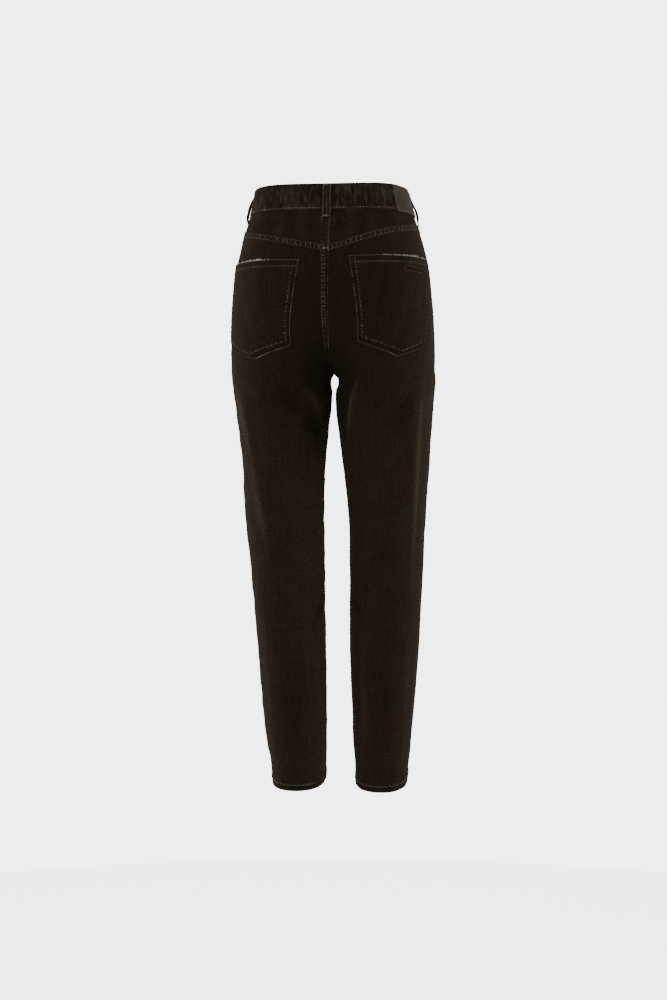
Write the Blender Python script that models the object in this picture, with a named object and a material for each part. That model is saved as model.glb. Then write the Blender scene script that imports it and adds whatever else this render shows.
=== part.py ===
"""High-rise tapered ankle jeans, filled out and hollow, as sewn from their own pieces.

The origin is the middle of the waist opening, half way up the waistband.
+Z is up, the front faces -Y and +X is the wearer's left.
"""
import math
from collections import namedtuple

import bmesh
import bpy
import numpy as np
from mathutils import Vector

MM = 0.001

# Driving sizes, in millimetres
BAND_TOP = 21.0
BAND_BOTTOM = -20.0
CROTCH = -267.0
HEM_SIDE = -916.5
HEM_DROP = 13.5
CLOTH = 1.5
SEAM_GAP = 0.3
OVERLAY_GAP = 1.0
FACING_GAP = 1.35
HEM_HEIGHT = 12.0
HEM_OUT = 0.5
HEM_IN = -2.4
SIDE_SEAM_HIP = 101.0
SIDE_SEAM_HEM = 97.0
BAND_OUT = 1.0
BAND_IN = -2.2
FLY_OVERLAP = 15.0
UNDERLAP_DROP = 3.6
MOUTH_DEPTH = 68.0
MOUTH_REACH = 0.58
LOOP_WIDTH = 13.0
LOOP_THICKNESS = 2.4
LOOP_STAND_OFF = 7.8
POCKET_THICKNESS = 1.8
PATCH_HEIGHT = 43.0
PATCH_WIDTH = 66.0
PATCH_THICKNESS = 1.3
PATCH_START = 106.0
BUTTON_RADIUS = 8.5
BUTTON_HEIGHT = 3.6
FACING_THICKNESS = 1.2
FACING_UNDER = 0.16
FLY_LENGTH = 160.0
ZIP_WIDTH = 22.0
ZIP_LENGTH = 154.0
ZIP_DEPTH = 2.9
ZIP_THICKNESS = 1.0
GUARD_WIDTH = 42.0
GUARD_SHIFT = 4.0
GUARD_DEPTH = 5.0
STRIP_DROP = 2.0
HALF_WAIST = 352.0
BACK_LENGTH = 230.0

# How finely the pieces are divided, and the heights of the leg panels' rows
BACK_COLUMNS = 16
FRONT_COLUMNS = 12
BAND_COLUMNS = 52
YOKE_ROW_COUNT = 4
POCKET_COLUMNS = 14
POCKET_DOWN = 7
FACING_COLUMNS = 10
FACING_DOWN = 6
STRIP_COLUMNS = 6
STRIP_DOWN = 8
YOKE_LEAN_END = -170.0
SEAT_LEVELS = [-82.0, -106.0, -130.0, -156.0, -182.0]
HIP_LEVELS = [-106.0, -130.0, -156.0, -182.0]
CROTCH_STEPS = [60.0, 40.0, 24.0, 12.0, 4.0, 0.0, -6.0, -18.0, -34.0]
LEG_FIRST_LEVEL = -330.0
LEG_LAST_LEVEL = -880.0
LEG_LEVEL_COUNT = 17

# The form of one leg half from waist to hem. The section at a height is a
# rounded box about the leg's centre line. Above the crotch the centre-front
# and centre-back seams cut it off at the middle plane, and join_back and
# join_front say how far the inner side has closed in by that height.
FormRow = namedtuple(
    "FormRow",
    "height centre half back front depth_centre square join_back join_front",
)
LEFT_WAIST_ROWS = [
    FormRow(24, 44.0, 78.5, 87, 84, 0, 2.8, 0.00, 0.00),
    FormRow(-20, 47.0, 84.0, 95, 90, 0, 2.8, 0.05, 0.02),
]
RIGHT_WAIST_ROWS = [
    FormRow(24, 44.0, 73.5, 87, 84, 0, 2.8, 0.00, 0.00),
    FormRow(-20, 47.0, 82.5, 95, 90, 0, 2.8, 0.05, 0.02),
]
TRUNK_ROWS = [
    FormRow(-60, 54.0, 89.0, 108, 95, 0, 2.6, 0.12, 0.06),
    FormRow(-100, 61.0, 91.0, 118, 98, 0, 2.5, 0.20, 0.14),
    FormRow(-150, 69.0, 88.5, 124, 98, 0, 2.4, 0.36, 0.32),
    FormRow(-200, 75.0, 85.7, 125, 97, 0, 2.35, 0.58, 0.58),
    FormRow(-240, 79.0, 82.9, 119, 95, 0, 2.3, 0.80, 0.82),
    FormRow(-267, 81.0, 80.85, 112.5, 92.5, 0, 2.3, 1.00, 1.00),
]
LEFT_LEG_ROWS = [
    FormRow(-273, 82.4, 79.2, 111, 92, 0, 2.3, 1, 1),
    FormRow(-301, 80.4, 77.6, 104.5, 89.5, 0, 2.3, 1, 1),
    FormRow(-349, 80.2, 72.4, 96, 86, -2, 2.25, 1, 1),
    FormRow(-397, 79.9, 67.2, 88, 83, -4, 2.2, 1, 1),
    FormRow(-493, 79.5, 63.0, 76, 76, -8, 2.2, 1, 1),
    FormRow(-565, 75.3, 60.0, 70, 73, -10, 2.2, 1, 1),
    FormRow(-637, 72.0, 56.8, 67, 68, -12, 2.2, 1, 1),
    FormRow(-709, 68.4, 54.4, 65, 63, -14, 2.2, 1, 1),
    FormRow(-781, 65.2, 52.2, 62, 58, -16, 2.2, 1, 1),
    FormRow(-853, 61.4, 48.0, 58, 54, -18, 2.3, 1, 1),
    FormRow(-901, 57.6, 43.4, 56, 52, -20, 2.4, 1, 1),
    FormRow(-935, 57.0, 42.4, 55, 51, -20, 2.4, 1, 1),
]
RIGHT_LEG_ROWS = [
    FormRow(-273, 84.4, 78.0, 111, 92, 0, 2.3, 1, 1),
    FormRow(-301, 82.9, 78.0, 104.5, 89.5, 0, 2.3, 1, 1),
    FormRow(-349, 82.6, 74.6, 96, 86, -2, 2.25, 1, 1),
    FormRow(-397, 84.1, 70.0, 88, 83, -4, 2.2, 1, 1),
    FormRow(-493, 85.2, 61.2, 76, 76, -8, 2.2, 1, 1),
    FormRow(-565, 84.2, 58.4, 70, 73, -10, 2.2, 1, 1),
    FormRow(-637, 82.6, 56.8, 67, 68, -12, 2.2, 1, 1),
    FormRow(-709, 80.6, 54.8, 65, 63, -14, 2.2, 1, 1),
    FormRow(-781, 78.8, 50.6, 62, 58, -16, 2.2, 1, 1),
    FormRow(-853, 76.9, 45.8, 58, 54, -18, 2.3, 1, 1),
    FormRow(-901, 75.9, 41.8, 56, 52, -20, 2.4, 1, 1),
    FormRow(-935, 75.6, 41.0, 55, 51, -20, 2.4, 1, 1),
]
FORM_ROWS = {
    1: LEFT_WAIST_ROWS + TRUNK_ROWS + LEFT_LEG_ROWS,
    -1: RIGHT_WAIST_ROWS + TRUNK_ROWS + RIGHT_LEG_ROWS,
}

# The largest folds: each runs from one point to another of a leg half.
# Angles go round the leg: 0 back, 90 outer side, 180 front, -90 inner side.
FoldRow = namedtuple(
    "FoldRow", "side start_angle start_height end_angle end_height width depth"
)
FOLD_ROWS = [
    FoldRow(1, -2, -298, -23, -338, 9, -3.0),
    FoldRow(1, -23, -338, -69, -382, 9, -3.2),
    FoldRow(1, -26, -290, -57, -347, 8, 1.8),
    FoldRow(-1, -21, -278, -40, -374, 7, 2.2),
    FoldRow(-1, -33, -282, -56, -374, 9, -2.8),
    FoldRow(-1, 30, -288, 14, -372, 10, -1.6),
    FoldRow(1, 205, -300, 160, -345, 11, -3.0),
    FoldRow(-1, 205, -305, 158, -352, 11, -3.0),
    FoldRow(1, 215, -288, 190, -312, 9, 2.0),
    FoldRow(-1, 215, -292, 190, -316, 9, 2.0),
    FoldRow(1, -86, -598, -58, -652, 10, -2.6),
    FoldRow(-1, -66, -596, -42, -648, 10, -2.6),
    FoldRow(1, 150, -560, 205, -585, 12, -2.4),
    FoldRow(-1, 152, -570, 208, -592, 12, -2.4),
    FoldRow(1, 43, -278, 34, -400, 9, 2.0),
    FoldRow(1, 34, -400, 17, -545, 10, 1.8),
    FoldRow(-1, 41, -276, 41, -590, 7, 2.0),
]

# The yoke seam's height by distance round the back from the centre seam
YokeRow = namedtuple("YokeRow", "height left right")
YOKE_ROWS = [
    YokeRow(230, -37.0, -33.0),
    YokeRow(185, -42.0, -36.0),
    YokeRow(105, -57.0, -48.5),
    YokeRow(70, -64.0, -57.5),
    YokeRow(35, -71.0, -68.5),
    YokeRow(0, -79.0, -79.0),
]

# Back pockets: distance round the back from the centre seam, then height
PocketRow = namedtuple(
    "PocketRow",
    "side name inner_top top_inner outer_top top_outer inner_low low_inner"
    " tip low_tip outer_low low_outer",
)
POCKET_ROWS = [
    PocketRow(1, "left", 41, -101, 194, -99, 61, -232, 136.4, -253, 193, -225),
    PocketRow(-1, "right", 36.5, -96, 188, -93, 56, -227, 131.4, -250, 188, -225),
]

# Belt loops: which half, and the angle round it, or none at the centre back
LoopRow = namedtuple("LoopRow", "name side angle")
LOOP_ROWS = [
    LoopRow("loop_centre_back", 1, None),
    LoopRow("loop_side_left", 1, 90.0),
    LoopRow("loop_side_right", -1, 90.0),
    LoopRow("loop_front_left", 1, 171.0),
    LoopRow("loop_front_right", -1, 171.0),
]

MaterialRow = namedtuple("MaterialRow", "name colour roughness metallic")
MATERIAL_ROWS = {
    "denim": MaterialRow("washed_black_denim", (0.020, 0.014, 0.009), 0.88, 0.0),
    "band": MaterialRow("waistband_denim", (0.024, 0.017, 0.011), 0.88, 0.0),
    "patch": MaterialRow("blank_patch", (0.055, 0.042, 0.028), 0.6, 0.0),
    "metal": MaterialRow("aged_metal", (0.16, 0.13, 0.10), 0.4, 1.0),
    "tape": MaterialRow("zip_tape", (0.012, 0.010, 0.008), 0.8, 0.0),
}


def smooth_column(rows, column, heights):
    """Smooth curve through one column of a table whose heights fall."""
    levels = np.array([float(row.height) for row in rows])[::-1]
    values = np.array([float(getattr(row, column)) for row in rows])[::-1]
    slopes = np.gradient(values, levels)
    heights = np.clip(heights, levels[0], levels[-1])
    place = np.clip(np.searchsorted(levels, heights) - 1, 0, len(levels) - 2)
    span = levels[place + 1] - levels[place]
    part = (heights - levels[place]) / span
    square = part * part
    cube = square * part
    return (
        (2 * cube - 3 * square + 1) * values[place]
        + (cube - 2 * square + part) * span * slopes[place]
        + (3 * square - 2 * cube) * values[place + 1]
        + (cube - square) * span * slopes[place + 1]
    )


def smooth_step(low, high, value):
    """0 below low and 1 above high, with a soft change between."""
    part = np.clip((value - low) / (high - low), 0.0, 1.0)
    return part * part * (3.0 - 2.0 * part)


def base_point(side, angle, height):
    """Points of the smooth form in millimetres, before any fold."""
    rows = FORM_ROWS[side]
    turn = np.radians(angle)
    across = np.sin(turn)
    along = np.cos(turn)
    centre = smooth_column(rows, "centre", height)
    half = smooth_column(rows, "half", height)
    square = smooth_column(rows, "square", height)
    back = smooth_column(rows, "back", height)
    front = smooth_column(rows, "front", height)
    join = np.where(
        along >= 0,
        smooth_column(rows, "join_back", height),
        smooth_column(rows, "join_front", height),
    )
    inner = np.where(height > CROTCH, join / (centre - SEAM_GAP / 2), 1.0 / half)
    wide = np.where(across >= 0, 1.0 / half, inner)
    deep = np.where(along >= 0, 1.0 / back, 1.0 / front)
    reach = (np.abs(across) * wide) ** square + (np.abs(along) * deep) ** square
    radius = reach ** (-1.0 / square)
    x = side * (centre + radius * across)
    y = smooth_column(rows, "depth_centre", height) + radius * along
    return np.stack([x, y, height + 0.0 * radius], axis=-1)


def form_normal(side, angle, height):
    """Outward directions of the smooth form."""
    round_step = base_point(side, angle + 0.5, height) - base_point(side, angle - 0.5, height)
    up_step = base_point(side, angle, height + 0.7) - base_point(side, angle, height - 0.7)
    normal = np.cross(up_step, round_step) * side
    return normal / np.linalg.norm(normal, axis=-1, keepdims=True)


def fold_depth(side, angle, height):
    """How far the largest folds move the cloth in or out."""
    total = np.zeros(np.broadcast(angle, height).shape)
    for fold in FOLD_ROWS:
        if fold.side != side:
            continue
        middle = (fold.start_height + fold.end_height) / 2
        scale = math.radians(1.0) * 0.5 * sum(
            float(smooth_column(FORM_ROWS[side], column, np.array(middle)))
            for column in ("half", "back")
        )
        turn = (angle - fold.start_angle + 180.0) % 360.0 - 180.0
        run_x = (fold.end_angle - fold.start_angle) * scale
        run_z = fold.end_height - fold.start_height
        length = math.hypot(run_x, run_z)
        off_x = turn * scale
        off_z = height - fold.start_height
        ahead = (off_x * run_x + off_z * run_z) / length
        aside = (off_x * run_z - off_z * run_x) / length
        fade = np.clip(1.0 - np.abs(2.0 * ahead / length - 1.0) ** 2 * 0.9, 0.0, 1.0)
        inside = (ahead > 0) & (ahead < length)
        total = total + fold.depth * np.exp(-((aside / fold.width) ** 2)) * fade * inside
    return total


def form_point(side, angle, height, out=0.0):
    """Points of the folded form, moved out along its normals."""
    normal = form_normal(side, angle, height)
    shift = fold_depth(side, angle, height) + out
    return base_point(side, angle, height) + normal * shift[..., None]


def seam_angle(side, face, height):
    """Angle of the centre seam above the crotch and of the inseam below it."""
    rows = FORM_ROWS[side]
    centre = smooth_column(rows, "centre", height) - SEAM_GAP / 2
    half = smooth_column(rows, "half", height)
    square = smooth_column(rows, "square", height)
    join = np.clip(smooth_column(rows, "join_" + face, height), 0.0, 1.0)
    deep = smooth_column(rows, face, height) * (1.0 - join**square) ** (1.0 / square)
    above = np.degrees(np.arctan2(centre, np.maximum(deep, SEAM_GAP / 2)))
    below = 90.0 - np.degrees(SEAM_GAP / 2 / half)
    turn = np.where(height > CROTCH, np.minimum(above, below), below)
    return -turn if face == "back" else 180.0 + turn


def side_seam(height):
    """Angle of the side seam, a little forward of the widest place."""
    part = smooth_step(CROTCH, HEM_SIDE, height)
    return SIDE_SEAM_HIP + (SIDE_SEAM_HEM - SIDE_SEAM_HIP) * part


def even_angles(side, start, end, height, fraction):
    """Angles that divide the cloth evenly between two seams at each height."""
    steps = np.linspace(0.0, 1.0, 25)
    angles = start[..., None] + (end - start)[..., None] * steps
    heights = height[..., None] + 0.0 * steps
    points = base_point(side, angles, heights)
    lengths = np.linalg.norm(np.diff(points[..., :2], axis=-2), axis=-1)
    along = np.concatenate([0.0 * lengths[..., :1], np.cumsum(lengths, axis=-1)], axis=-1)
    result = np.empty(height.shape)
    for place in np.ndindex(height.shape):
        goal = fraction[place] * along[place][-1]
        result[place] = np.interp(goal, along[place], angles[place])
    return result


def angle_at_distance(side, height, distance):
    """Angle at a distance round the back from the centre-back seam."""
    start = seam_angle(side, "back", height)
    steps = np.linspace(0.0, 1.0, 49)
    angles = start[..., None] + (150.0 - start)[..., None] * steps
    points = base_point(side, angles, height[..., None] + 0.0 * steps)
    lengths = np.linalg.norm(np.diff(points[..., :2], axis=-2), axis=-1)
    along = np.concatenate([0.0 * lengths[..., :1], np.cumsum(lengths, axis=-1)], axis=-1)
    result = np.empty(height.shape)
    for place in np.ndindex(height.shape):
        result[place] = np.interp(distance[place], along[place], angles[place])
    return result


def face_outwards(sheet):
    """Turn a closed mesh's faces outwards."""
    if sheet.calc_volume(signed=True) < 0:
        bmesh.ops.reverse_faces(sheet, faces=list(sheet.faces))


def wall_object(name, outer, inner, finish, collection):
    """Closed wall between two matching grids of points, as one object."""
    rows, columns = outer.shape[:2]
    sheet = bmesh.new()
    bmesh.ops.create_grid(sheet, x_segments=columns - 1, y_segments=rows - 1, size=0.5)
    sheet.verts.ensure_lookup_table()
    first = list(sheet.verts)
    extruded = bmesh.ops.extrude_face_region(sheet, geom=list(sheet.faces))
    second = [item for item in extruded["geom"] if isinstance(item, bmesh.types.BMVert)]
    for group, points in ((first, inner), (second, outer)):
        for vert in group:
            column = round((vert.co.x + 0.5) * (columns - 1))
            row = round((vert.co.y + 0.5) * (rows - 1))
            vert.co = points[row, column] * MM
    face_outwards(sheet)
    mesh = bpy.data.meshes.new(name)
    sheet.to_mesh(mesh)
    sheet.free()
    mesh.shade_smooth()
    mesh.set_sharp_from_angle(angle=math.radians(50))
    return finish_object(name, mesh, finish, collection)


def finish_object(name, mesh, finish, collection):
    """Object of a mesh with its material, in the garment's collection."""
    mesh.materials.append(finish)
    item = bpy.data.objects.new(name, mesh)
    collection.objects.link(item)
    return item


def make_material(row):
    """Principled material with one piece's colour and gloss."""
    material = bpy.data.materials.new(row.name)
    material.use_nodes = True
    shader = material.node_tree.nodes["Principled BSDF"]
    shader.inputs["Base Color"].default_value = (*row.colour, 1.0)
    shader.inputs["Roughness"].default_value = row.roughness
    shader.inputs["Metallic"].default_value = row.metallic
    material.diffuse_color = (*row.colour, 1.0)
    return material


def hem_height(angle):
    """Height of the finished hem edge, lowest at the back."""
    return HEM_SIDE - HEM_DROP * np.cos(np.radians(angle))


def hem_turn(face, fraction):
    """Angle round the hem at each part of the way from inseam to side seam."""
    if face == "back":
        return -90.0 + 180.0 * fraction
    return 270.0 - 180.0 * fraction


def leg_levels(top_levels):
    """Heights of a leg panel's rows, closest at the crotch and the hem."""
    crotch_levels = [CROTCH + step for step in CROTCH_STEPS]
    leg = list(np.linspace(LEG_FIRST_LEVEL, LEG_LAST_LEVEL, LEG_LEVEL_COUNT))
    return top_levels + crotch_levels + leg


def panel_grid(side, face, top, levels, columns, edge_angle):
    """Angles and heights of a leg panel's points, from its top to its hem."""
    fraction = np.linspace(0.0, 1.0, columns + 1)[None, :]
    level = np.array(levels)[:, None] + 0.0 * fraction
    lean = smooth_step(YOKE_LEAN_END, top.mean(), level)
    height = level + lean * (top[None, :] - top.mean())
    hem = hem_height(hem_turn(face, fraction))
    hem_rows = [hem + HEM_HEIGHT + 0.6, hem + HEM_HEIGHT, hem + HEM_HEIGHT / 2, hem]
    height = np.concatenate([height] + hem_rows, axis=0)
    fraction = fraction + 0.0 * height
    start = seam_angle(side, face, height)
    end = edge_angle(height)
    return even_angles(side, start, end, height, fraction), height


def panel_offsets(shape):
    """Outer and inner offsets of a leg panel, thicker at the turned hem."""
    outer = np.zeros(shape)
    inner = np.full(shape, -CLOTH)
    outer[-3:] = HEM_OUT
    inner[-3:] = HEM_IN
    return outer, inner


def seam_half_gap(side, height):
    """Half of the seam gap as an angle at the side seam."""
    half = smooth_column(FORM_ROWS[side], "half", height)
    return np.degrees(SEAM_GAP / 2 / half)


def yoke_line(side, columns):
    """Height of the yoke seam at each column of the back."""
    distance = np.linspace(0.0, BACK_LENGTH, columns + 1)
    return smooth_column(YOKE_ROWS, "left" if side > 0 else "right", distance)


def back_panel(side):
    """Back leg from the yoke seam to the hem."""
    top = yoke_line(side, BACK_COLUMNS) - SEAM_GAP / 2
    levels = leg_levels([top.mean()] + SEAT_LEVELS)
    return panel_grid(
        side, "back", top, levels, BACK_COLUMNS,
        lambda height: side_seam(height) - seam_half_gap(side, height),
    )


def mouth_edge(side, height):
    """Outer edge of the front: the pocket mouth's scoop, then the side seam."""
    seam = side_seam(height) + seam_half_gap(side, height)
    middle = seam_angle(side, "front", height)
    down = np.clip((BAND_BOTTOM - height) / MOUTH_DEPTH, 0.0, 1.0)
    scoop = np.sqrt(np.maximum(1.0 - down * down, 0.0))
    return seam + (middle - seam) * MOUTH_REACH * scoop


def front_panel(side):
    """Front leg from the waistband to the hem, with its pocket mouth."""
    top = np.full(FRONT_COLUMNS + 1, BAND_BOTTOM - SEAM_GAP)
    scoop_steps = [13.0, 26.0, 39.0, 51.0, 62.0, 72.0, 81.0, 90.0]
    scoop = [BAND_BOTTOM - MOUTH_DEPTH * math.sin(math.radians(step)) for step in scoop_steps]
    levels = leg_levels([top[0]] + scoop + HIP_LEVELS)
    return panel_grid(
        side, "front", top, levels, FRONT_COLUMNS,
        lambda height: mouth_edge(side, height),
    )


def yoke_panel(side):
    """Back yoke between the waistband and the yoke seam."""
    low = yoke_line(side, BACK_COLUMNS) + SEAM_GAP / 2
    high = BAND_BOTTOM - SEAM_GAP
    part = np.linspace(0.0, 1.0, YOKE_ROW_COUNT)[:, None]
    height = high + (low[None, :] - high) * part
    fraction = np.linspace(0.0, 1.0, BACK_COLUMNS + 1)[None, :] + 0.0 * height
    start = seam_angle(side, "back", height)
    end = side_seam(height) - seam_half_gap(side, height)
    return even_angles(side, start, end, height, fraction), height


def back_pocket(row):
    """Points of a patch pocket: straight sides and a point at its foot."""
    across = np.linspace(0.0, 1.0, POCKET_COLUMNS + 1)[None, :]
    down = np.linspace(0.0, 1.0, POCKET_DOWN + 1)[:, None]
    tip = (row.tip - row.inner_low) / (row.outer_low - row.inner_low)
    foot = np.interp(across, [0.0, tip, 1.0], [row.low_inner, row.low_tip, row.low_outer])
    head = row.top_inner + (row.top_outer - row.top_inner) * across
    height = head + (foot - head) * down
    inner = row.inner_top + (row.inner_low - row.inner_top) * down
    outer = row.outer_top + (row.outer_low - row.outer_top) * down
    distance = inner + (outer - inner) * across
    return angle_at_distance(row.side, height, distance), height


def pocket_facing(side):
    """Facing behind the front pocket's mouth, from the side seam inwards."""
    down = np.linspace(0.0, 1.0, FACING_DOWN + 1)[:, None]
    across = np.linspace(0.0, 1.0, FACING_COLUMNS + 1)[None, :]
    height = BAND_BOTTOM - SEAM_GAP - (MOUTH_DEPTH + 24.0) * down + 0.0 * across
    seam = side_seam(height) + seam_half_gap(side, height)
    middle = seam_angle(side, "front", height)
    far = seam + (middle - seam) * (MOUTH_REACH + FACING_UNDER)
    return even_angles(side, seam, far, height, across + 0.0 * height), height


def front_strip(width, shift, length, out):
    """Points of an upright strip behind the centre-front seam."""
    across = np.linspace(-width / 2, width / 2, STRIP_COLUMNS + 1)[None, :] - shift
    top = BAND_BOTTOM - STRIP_DROP
    height = np.linspace(top, top - length, STRIP_DOWN + 1)[:, None] + 0.0 * across
    across = across + 0.0 * height
    points = np.empty(across.shape + (3,))
    for side in (1, -1):
        middle = seam_angle(side, "front", height)
        radius = smooth_column(FORM_ROWS[side], "front", height)
        centre = smooth_column(FORM_ROWS[side], "centre", height)
        reach = np.maximum(centre - np.abs(across), 0.0)
        angle = np.minimum(180.0 + np.degrees(np.arctan2(reach, radius)), middle)
        placed = form_point(side, angle, height, np.full(angle.shape, out))
        chosen = across >= 0 if side > 0 else across < 0
        points[chosen] = placed[chosen]
    return points


def band_point(distance, height, out):
    """Points round the waist: 0 at the back, one half each way to the front."""
    points = np.empty(distance.shape + (3,))
    for side in (1, -1):
        start = seam_angle(side, "back", height)
        end = seam_angle(side, "front", height)
        inside = np.abs(distance) <= 1.0
        own_side = np.where(inside, np.sign(distance + 1e-9), -np.sign(distance))
        fraction = np.where(inside, np.abs(distance), 2.0 - np.abs(distance))
        chosen = own_side == side
        angle = even_angles(side, start, end, height, fraction)
        placed = form_point(side, angle, height, out)
        points[chosen] = placed[chosen]
    return points


def waistband_grids():
    """Outer and inner points of the waistband, lapped left over right."""
    lap = FLY_OVERLAP / HALF_WAIST
    distance = np.linspace(-1.0 - lap, 1.0 + lap, BAND_COLUMNS + 1)[None, :]
    height = np.array([BAND_TOP, BAND_TOP - 3.0, 0.0, BAND_BOTTOM + 3.0, BAND_BOTTOM])[:, None]
    distance = distance + 0.0 * height
    height = height + 0.0 * distance
    under = smooth_step(-1.0 + 3.2 * lap, -1.0 + 1.25 * lap, distance)
    rounded = np.array([-0.6, 0.0, 0.0, 0.0, -0.4])[:, None]
    outer = BAND_OUT - UNDERLAP_DROP * under + rounded
    inner = BAND_IN - UNDERLAP_DROP * under - rounded * 0.5
    return band_point(distance, height, outer), band_point(distance, height, inner)


def loop_grids(row):
    """Outer and inner points of a belt loop standing off the waistband."""
    profile = [
        (BAND_TOP - 0.6, 0.0), (BAND_TOP - 3.5, 0.0), (14.0, 0.62), (8.0, 0.95),
        (0.0, 1.0), (-9.0, 1.0), (-17.0, 0.86), (-24.0, 0.5), (-29.0, 0.12), (-34.0, 0.0),
    ]
    levels = np.array([level for level, _ in profile])[:, None]
    bulge = np.array([lift for _, lift in profile])[:, None]
    across = np.linspace(-LOOP_WIDTH / 2, LOOP_WIDTH / 2, 4)[None, :]
    seat = BAND_OUT + OVERLAY_GAP
    low = seat + (LOOP_STAND_OFF - seat) * bulge + 0.0 * across
    levels = levels + 0.0 * across
    if row.angle is None:
        middle_angle = seam_angle(1, "back", np.array(0.0))
        centre = base_point(1, middle_angle, np.array(0.0))
        centre[0] = 0.0
        outward = np.array([0.0, 1.0, 0.0])
    else:
        centre = base_point(row.side, np.array(row.angle), np.array(0.0))
        outward = form_normal(row.side, np.array(row.angle), np.array(0.0))
        outward[2] = 0.0
        outward = outward / np.linalg.norm(outward)
    sideways = np.array([-outward[1], outward[0], 0.0])
    wall_angle = np.full(levels.shape, row.angle if row.angle is not None else 0.0)
    if row.angle is None:
        wall_angle = seam_angle(1, "back", levels)
    wall = base_point(row.side, wall_angle, levels)
    depth = ((wall - centre) * outward).sum(axis=-1)
    start = centre + outward * depth[..., None] + sideways * across[..., None]
    start[..., 2] = levels
    grids = []
    for extra in (LOOP_THICKNESS, 0.0):
        grids.append(start + outward * (low + extra)[..., None])
    return grids


def patch_grids():
    """Outer and inner points of the blank patch on the right of the back."""
    across = np.linspace(0.0, 1.0, 9)[None, :]
    top = BAND_TOP - 1.2
    height = np.linspace(top, top - PATCH_HEIGHT, 4)[:, None] + 0.0 * across
    distance = PATCH_START + PATCH_WIDTH * across + 0.0 * height
    angle = angle_at_distance(-1, 0.0 * height, distance)
    low = BAND_OUT + OVERLAY_GAP
    flat = np.full(angle.shape, low)
    return form_point(-1, angle, height, flat + PATCH_THICKNESS), form_point(-1, angle, height, flat)


def make_button(collection, finish):
    """Domed waist button, turned from its profile and set on the overlap."""
    shape = [
        (0.0, 1.0), (0.36, 0.92), (0.76, 0.74), (0.94, 0.6), (1.0, 0.38), (0.96, 0.14),
        (0.5, 0.05), (0.0, 0.05),
    ]
    profile = [(radius * BUTTON_RADIUS, level * BUTTON_HEIGHT) for radius, level in shape]
    sheet = bmesh.new()
    verts = [sheet.verts.new((radius * MM, 0.0, level * MM)) for radius, level in profile]
    edges = [sheet.edges.new(pair) for pair in zip(verts, verts[1:])]
    bmesh.ops.spin(
        sheet, geom=verts + edges, cent=(0, 0, 0), axis=(0, 0, 1),
        angle=math.tau, steps=20, use_merge=True,
    )
    bmesh.ops.remove_doubles(sheet, verts=list(sheet.verts), dist=1e-5)
    middle = seam_angle(1, "front", np.array(0.0))
    front = base_point(1, middle, np.array(0.0))
    outward = form_normal(1, middle, np.array(0.0))
    outward[0] = 0.0
    facing = Vector((0.0, 0.0, 1.0)).rotation_difference(Vector(outward))
    bmesh.ops.rotate(sheet, verts=list(sheet.verts), cent=(0, 0, 0), matrix=facing.to_matrix())
    seat = (front + outward * (BAND_OUT + SEAM_GAP)) * MM
    bmesh.ops.translate(sheet, verts=list(sheet.verts), vec=(0.0, seat[1], seat[2]))
    face_outwards(sheet)
    mesh = bpy.data.meshes.new("button")
    sheet.to_mesh(mesh)
    sheet.free()
    mesh.shade_smooth()
    return finish_object("button", mesh, finish, collection)


def build():
    """Make every piece of the jeans."""
    for item in list(bpy.data.objects):
        bpy.data.objects.remove(item, do_unlink=True)
    collection = bpy.data.collections.new("mom_jeans")
    bpy.context.scene.collection.children.link(collection)
    finish = {key: make_material(row) for key, row in MATERIAL_ROWS.items()}

    for side, word in ((1, "left"), (-1, "right")):
        for name, grid in (("back_", back_panel(side)), ("front_", front_panel(side))):
            angle, height = grid
            outer, inner = panel_offsets(angle.shape)
            wall_object(
                name + word, form_point(side, angle, height, outer),
                form_point(side, angle, height, inner), finish["denim"], collection,
            )
        angle, height = yoke_panel(side)
        flat = np.zeros(angle.shape)
        wall_object(
            "yoke_" + word, form_point(side, angle, height, flat),
            form_point(side, angle, height, flat - CLOTH), finish["denim"], collection,
        )
        angle, height = pocket_facing(side)
        flat = np.full(angle.shape, -CLOTH - FACING_GAP)
        wall_object(
            "pocket_facing_" + word, form_point(side, angle, height, flat),
            form_point(side, angle, height, flat - FACING_THICKNESS), finish["denim"], collection,
        )

    for row in POCKET_ROWS:
        angle, height = back_pocket(row)
        flat = np.full(angle.shape, OVERLAY_GAP)
        wall_object(
            "back_pocket_" + row.name, form_point(row.side, angle, height, flat + POCKET_THICKNESS),
            form_point(row.side, angle, height, flat), finish["denim"], collection,
        )

    wall_object("waistband", *waistband_grids(), finish["band"], collection)
    for row in LOOP_ROWS:
        wall_object(row.name, *loop_grids(row), finish["denim"], collection)
    wall_object("patch", *patch_grids(), finish["patch"], collection)

    wall_object(
        "zip", front_strip(ZIP_WIDTH, 0.0, ZIP_LENGTH, -ZIP_DEPTH),
        front_strip(ZIP_WIDTH, 0.0, ZIP_LENGTH, -ZIP_DEPTH - ZIP_THICKNESS),
        finish["tape"], collection,
    )
    wall_object(
        "fly_guard", front_strip(GUARD_WIDTH, GUARD_SHIFT, FLY_LENGTH, -GUARD_DEPTH),
        front_strip(GUARD_WIDTH, GUARD_SHIFT, FLY_LENGTH, -GUARD_DEPTH - CLOTH),
        finish["denim"], collection,
    )
    make_button(collection, finish["metal"])


build()
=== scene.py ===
"""Looks of the high-rise tapered jeans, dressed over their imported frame.

Tables hold millimetres and degrees, and meshes are written in metres. The origin is
the middle of the waist opening, +Z is up and the front faces -Y. Angles go round each
leg: 0 at the back, 90 at the outer side, 180 at the front and -90 at the inner side.
"""

import logging
import math
import random
from dataclasses import dataclass, field
from enum import Enum
from typing import NamedTuple

import bmesh
import bpy
import numpy as np
from mathutils import Matrix, Vector


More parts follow.
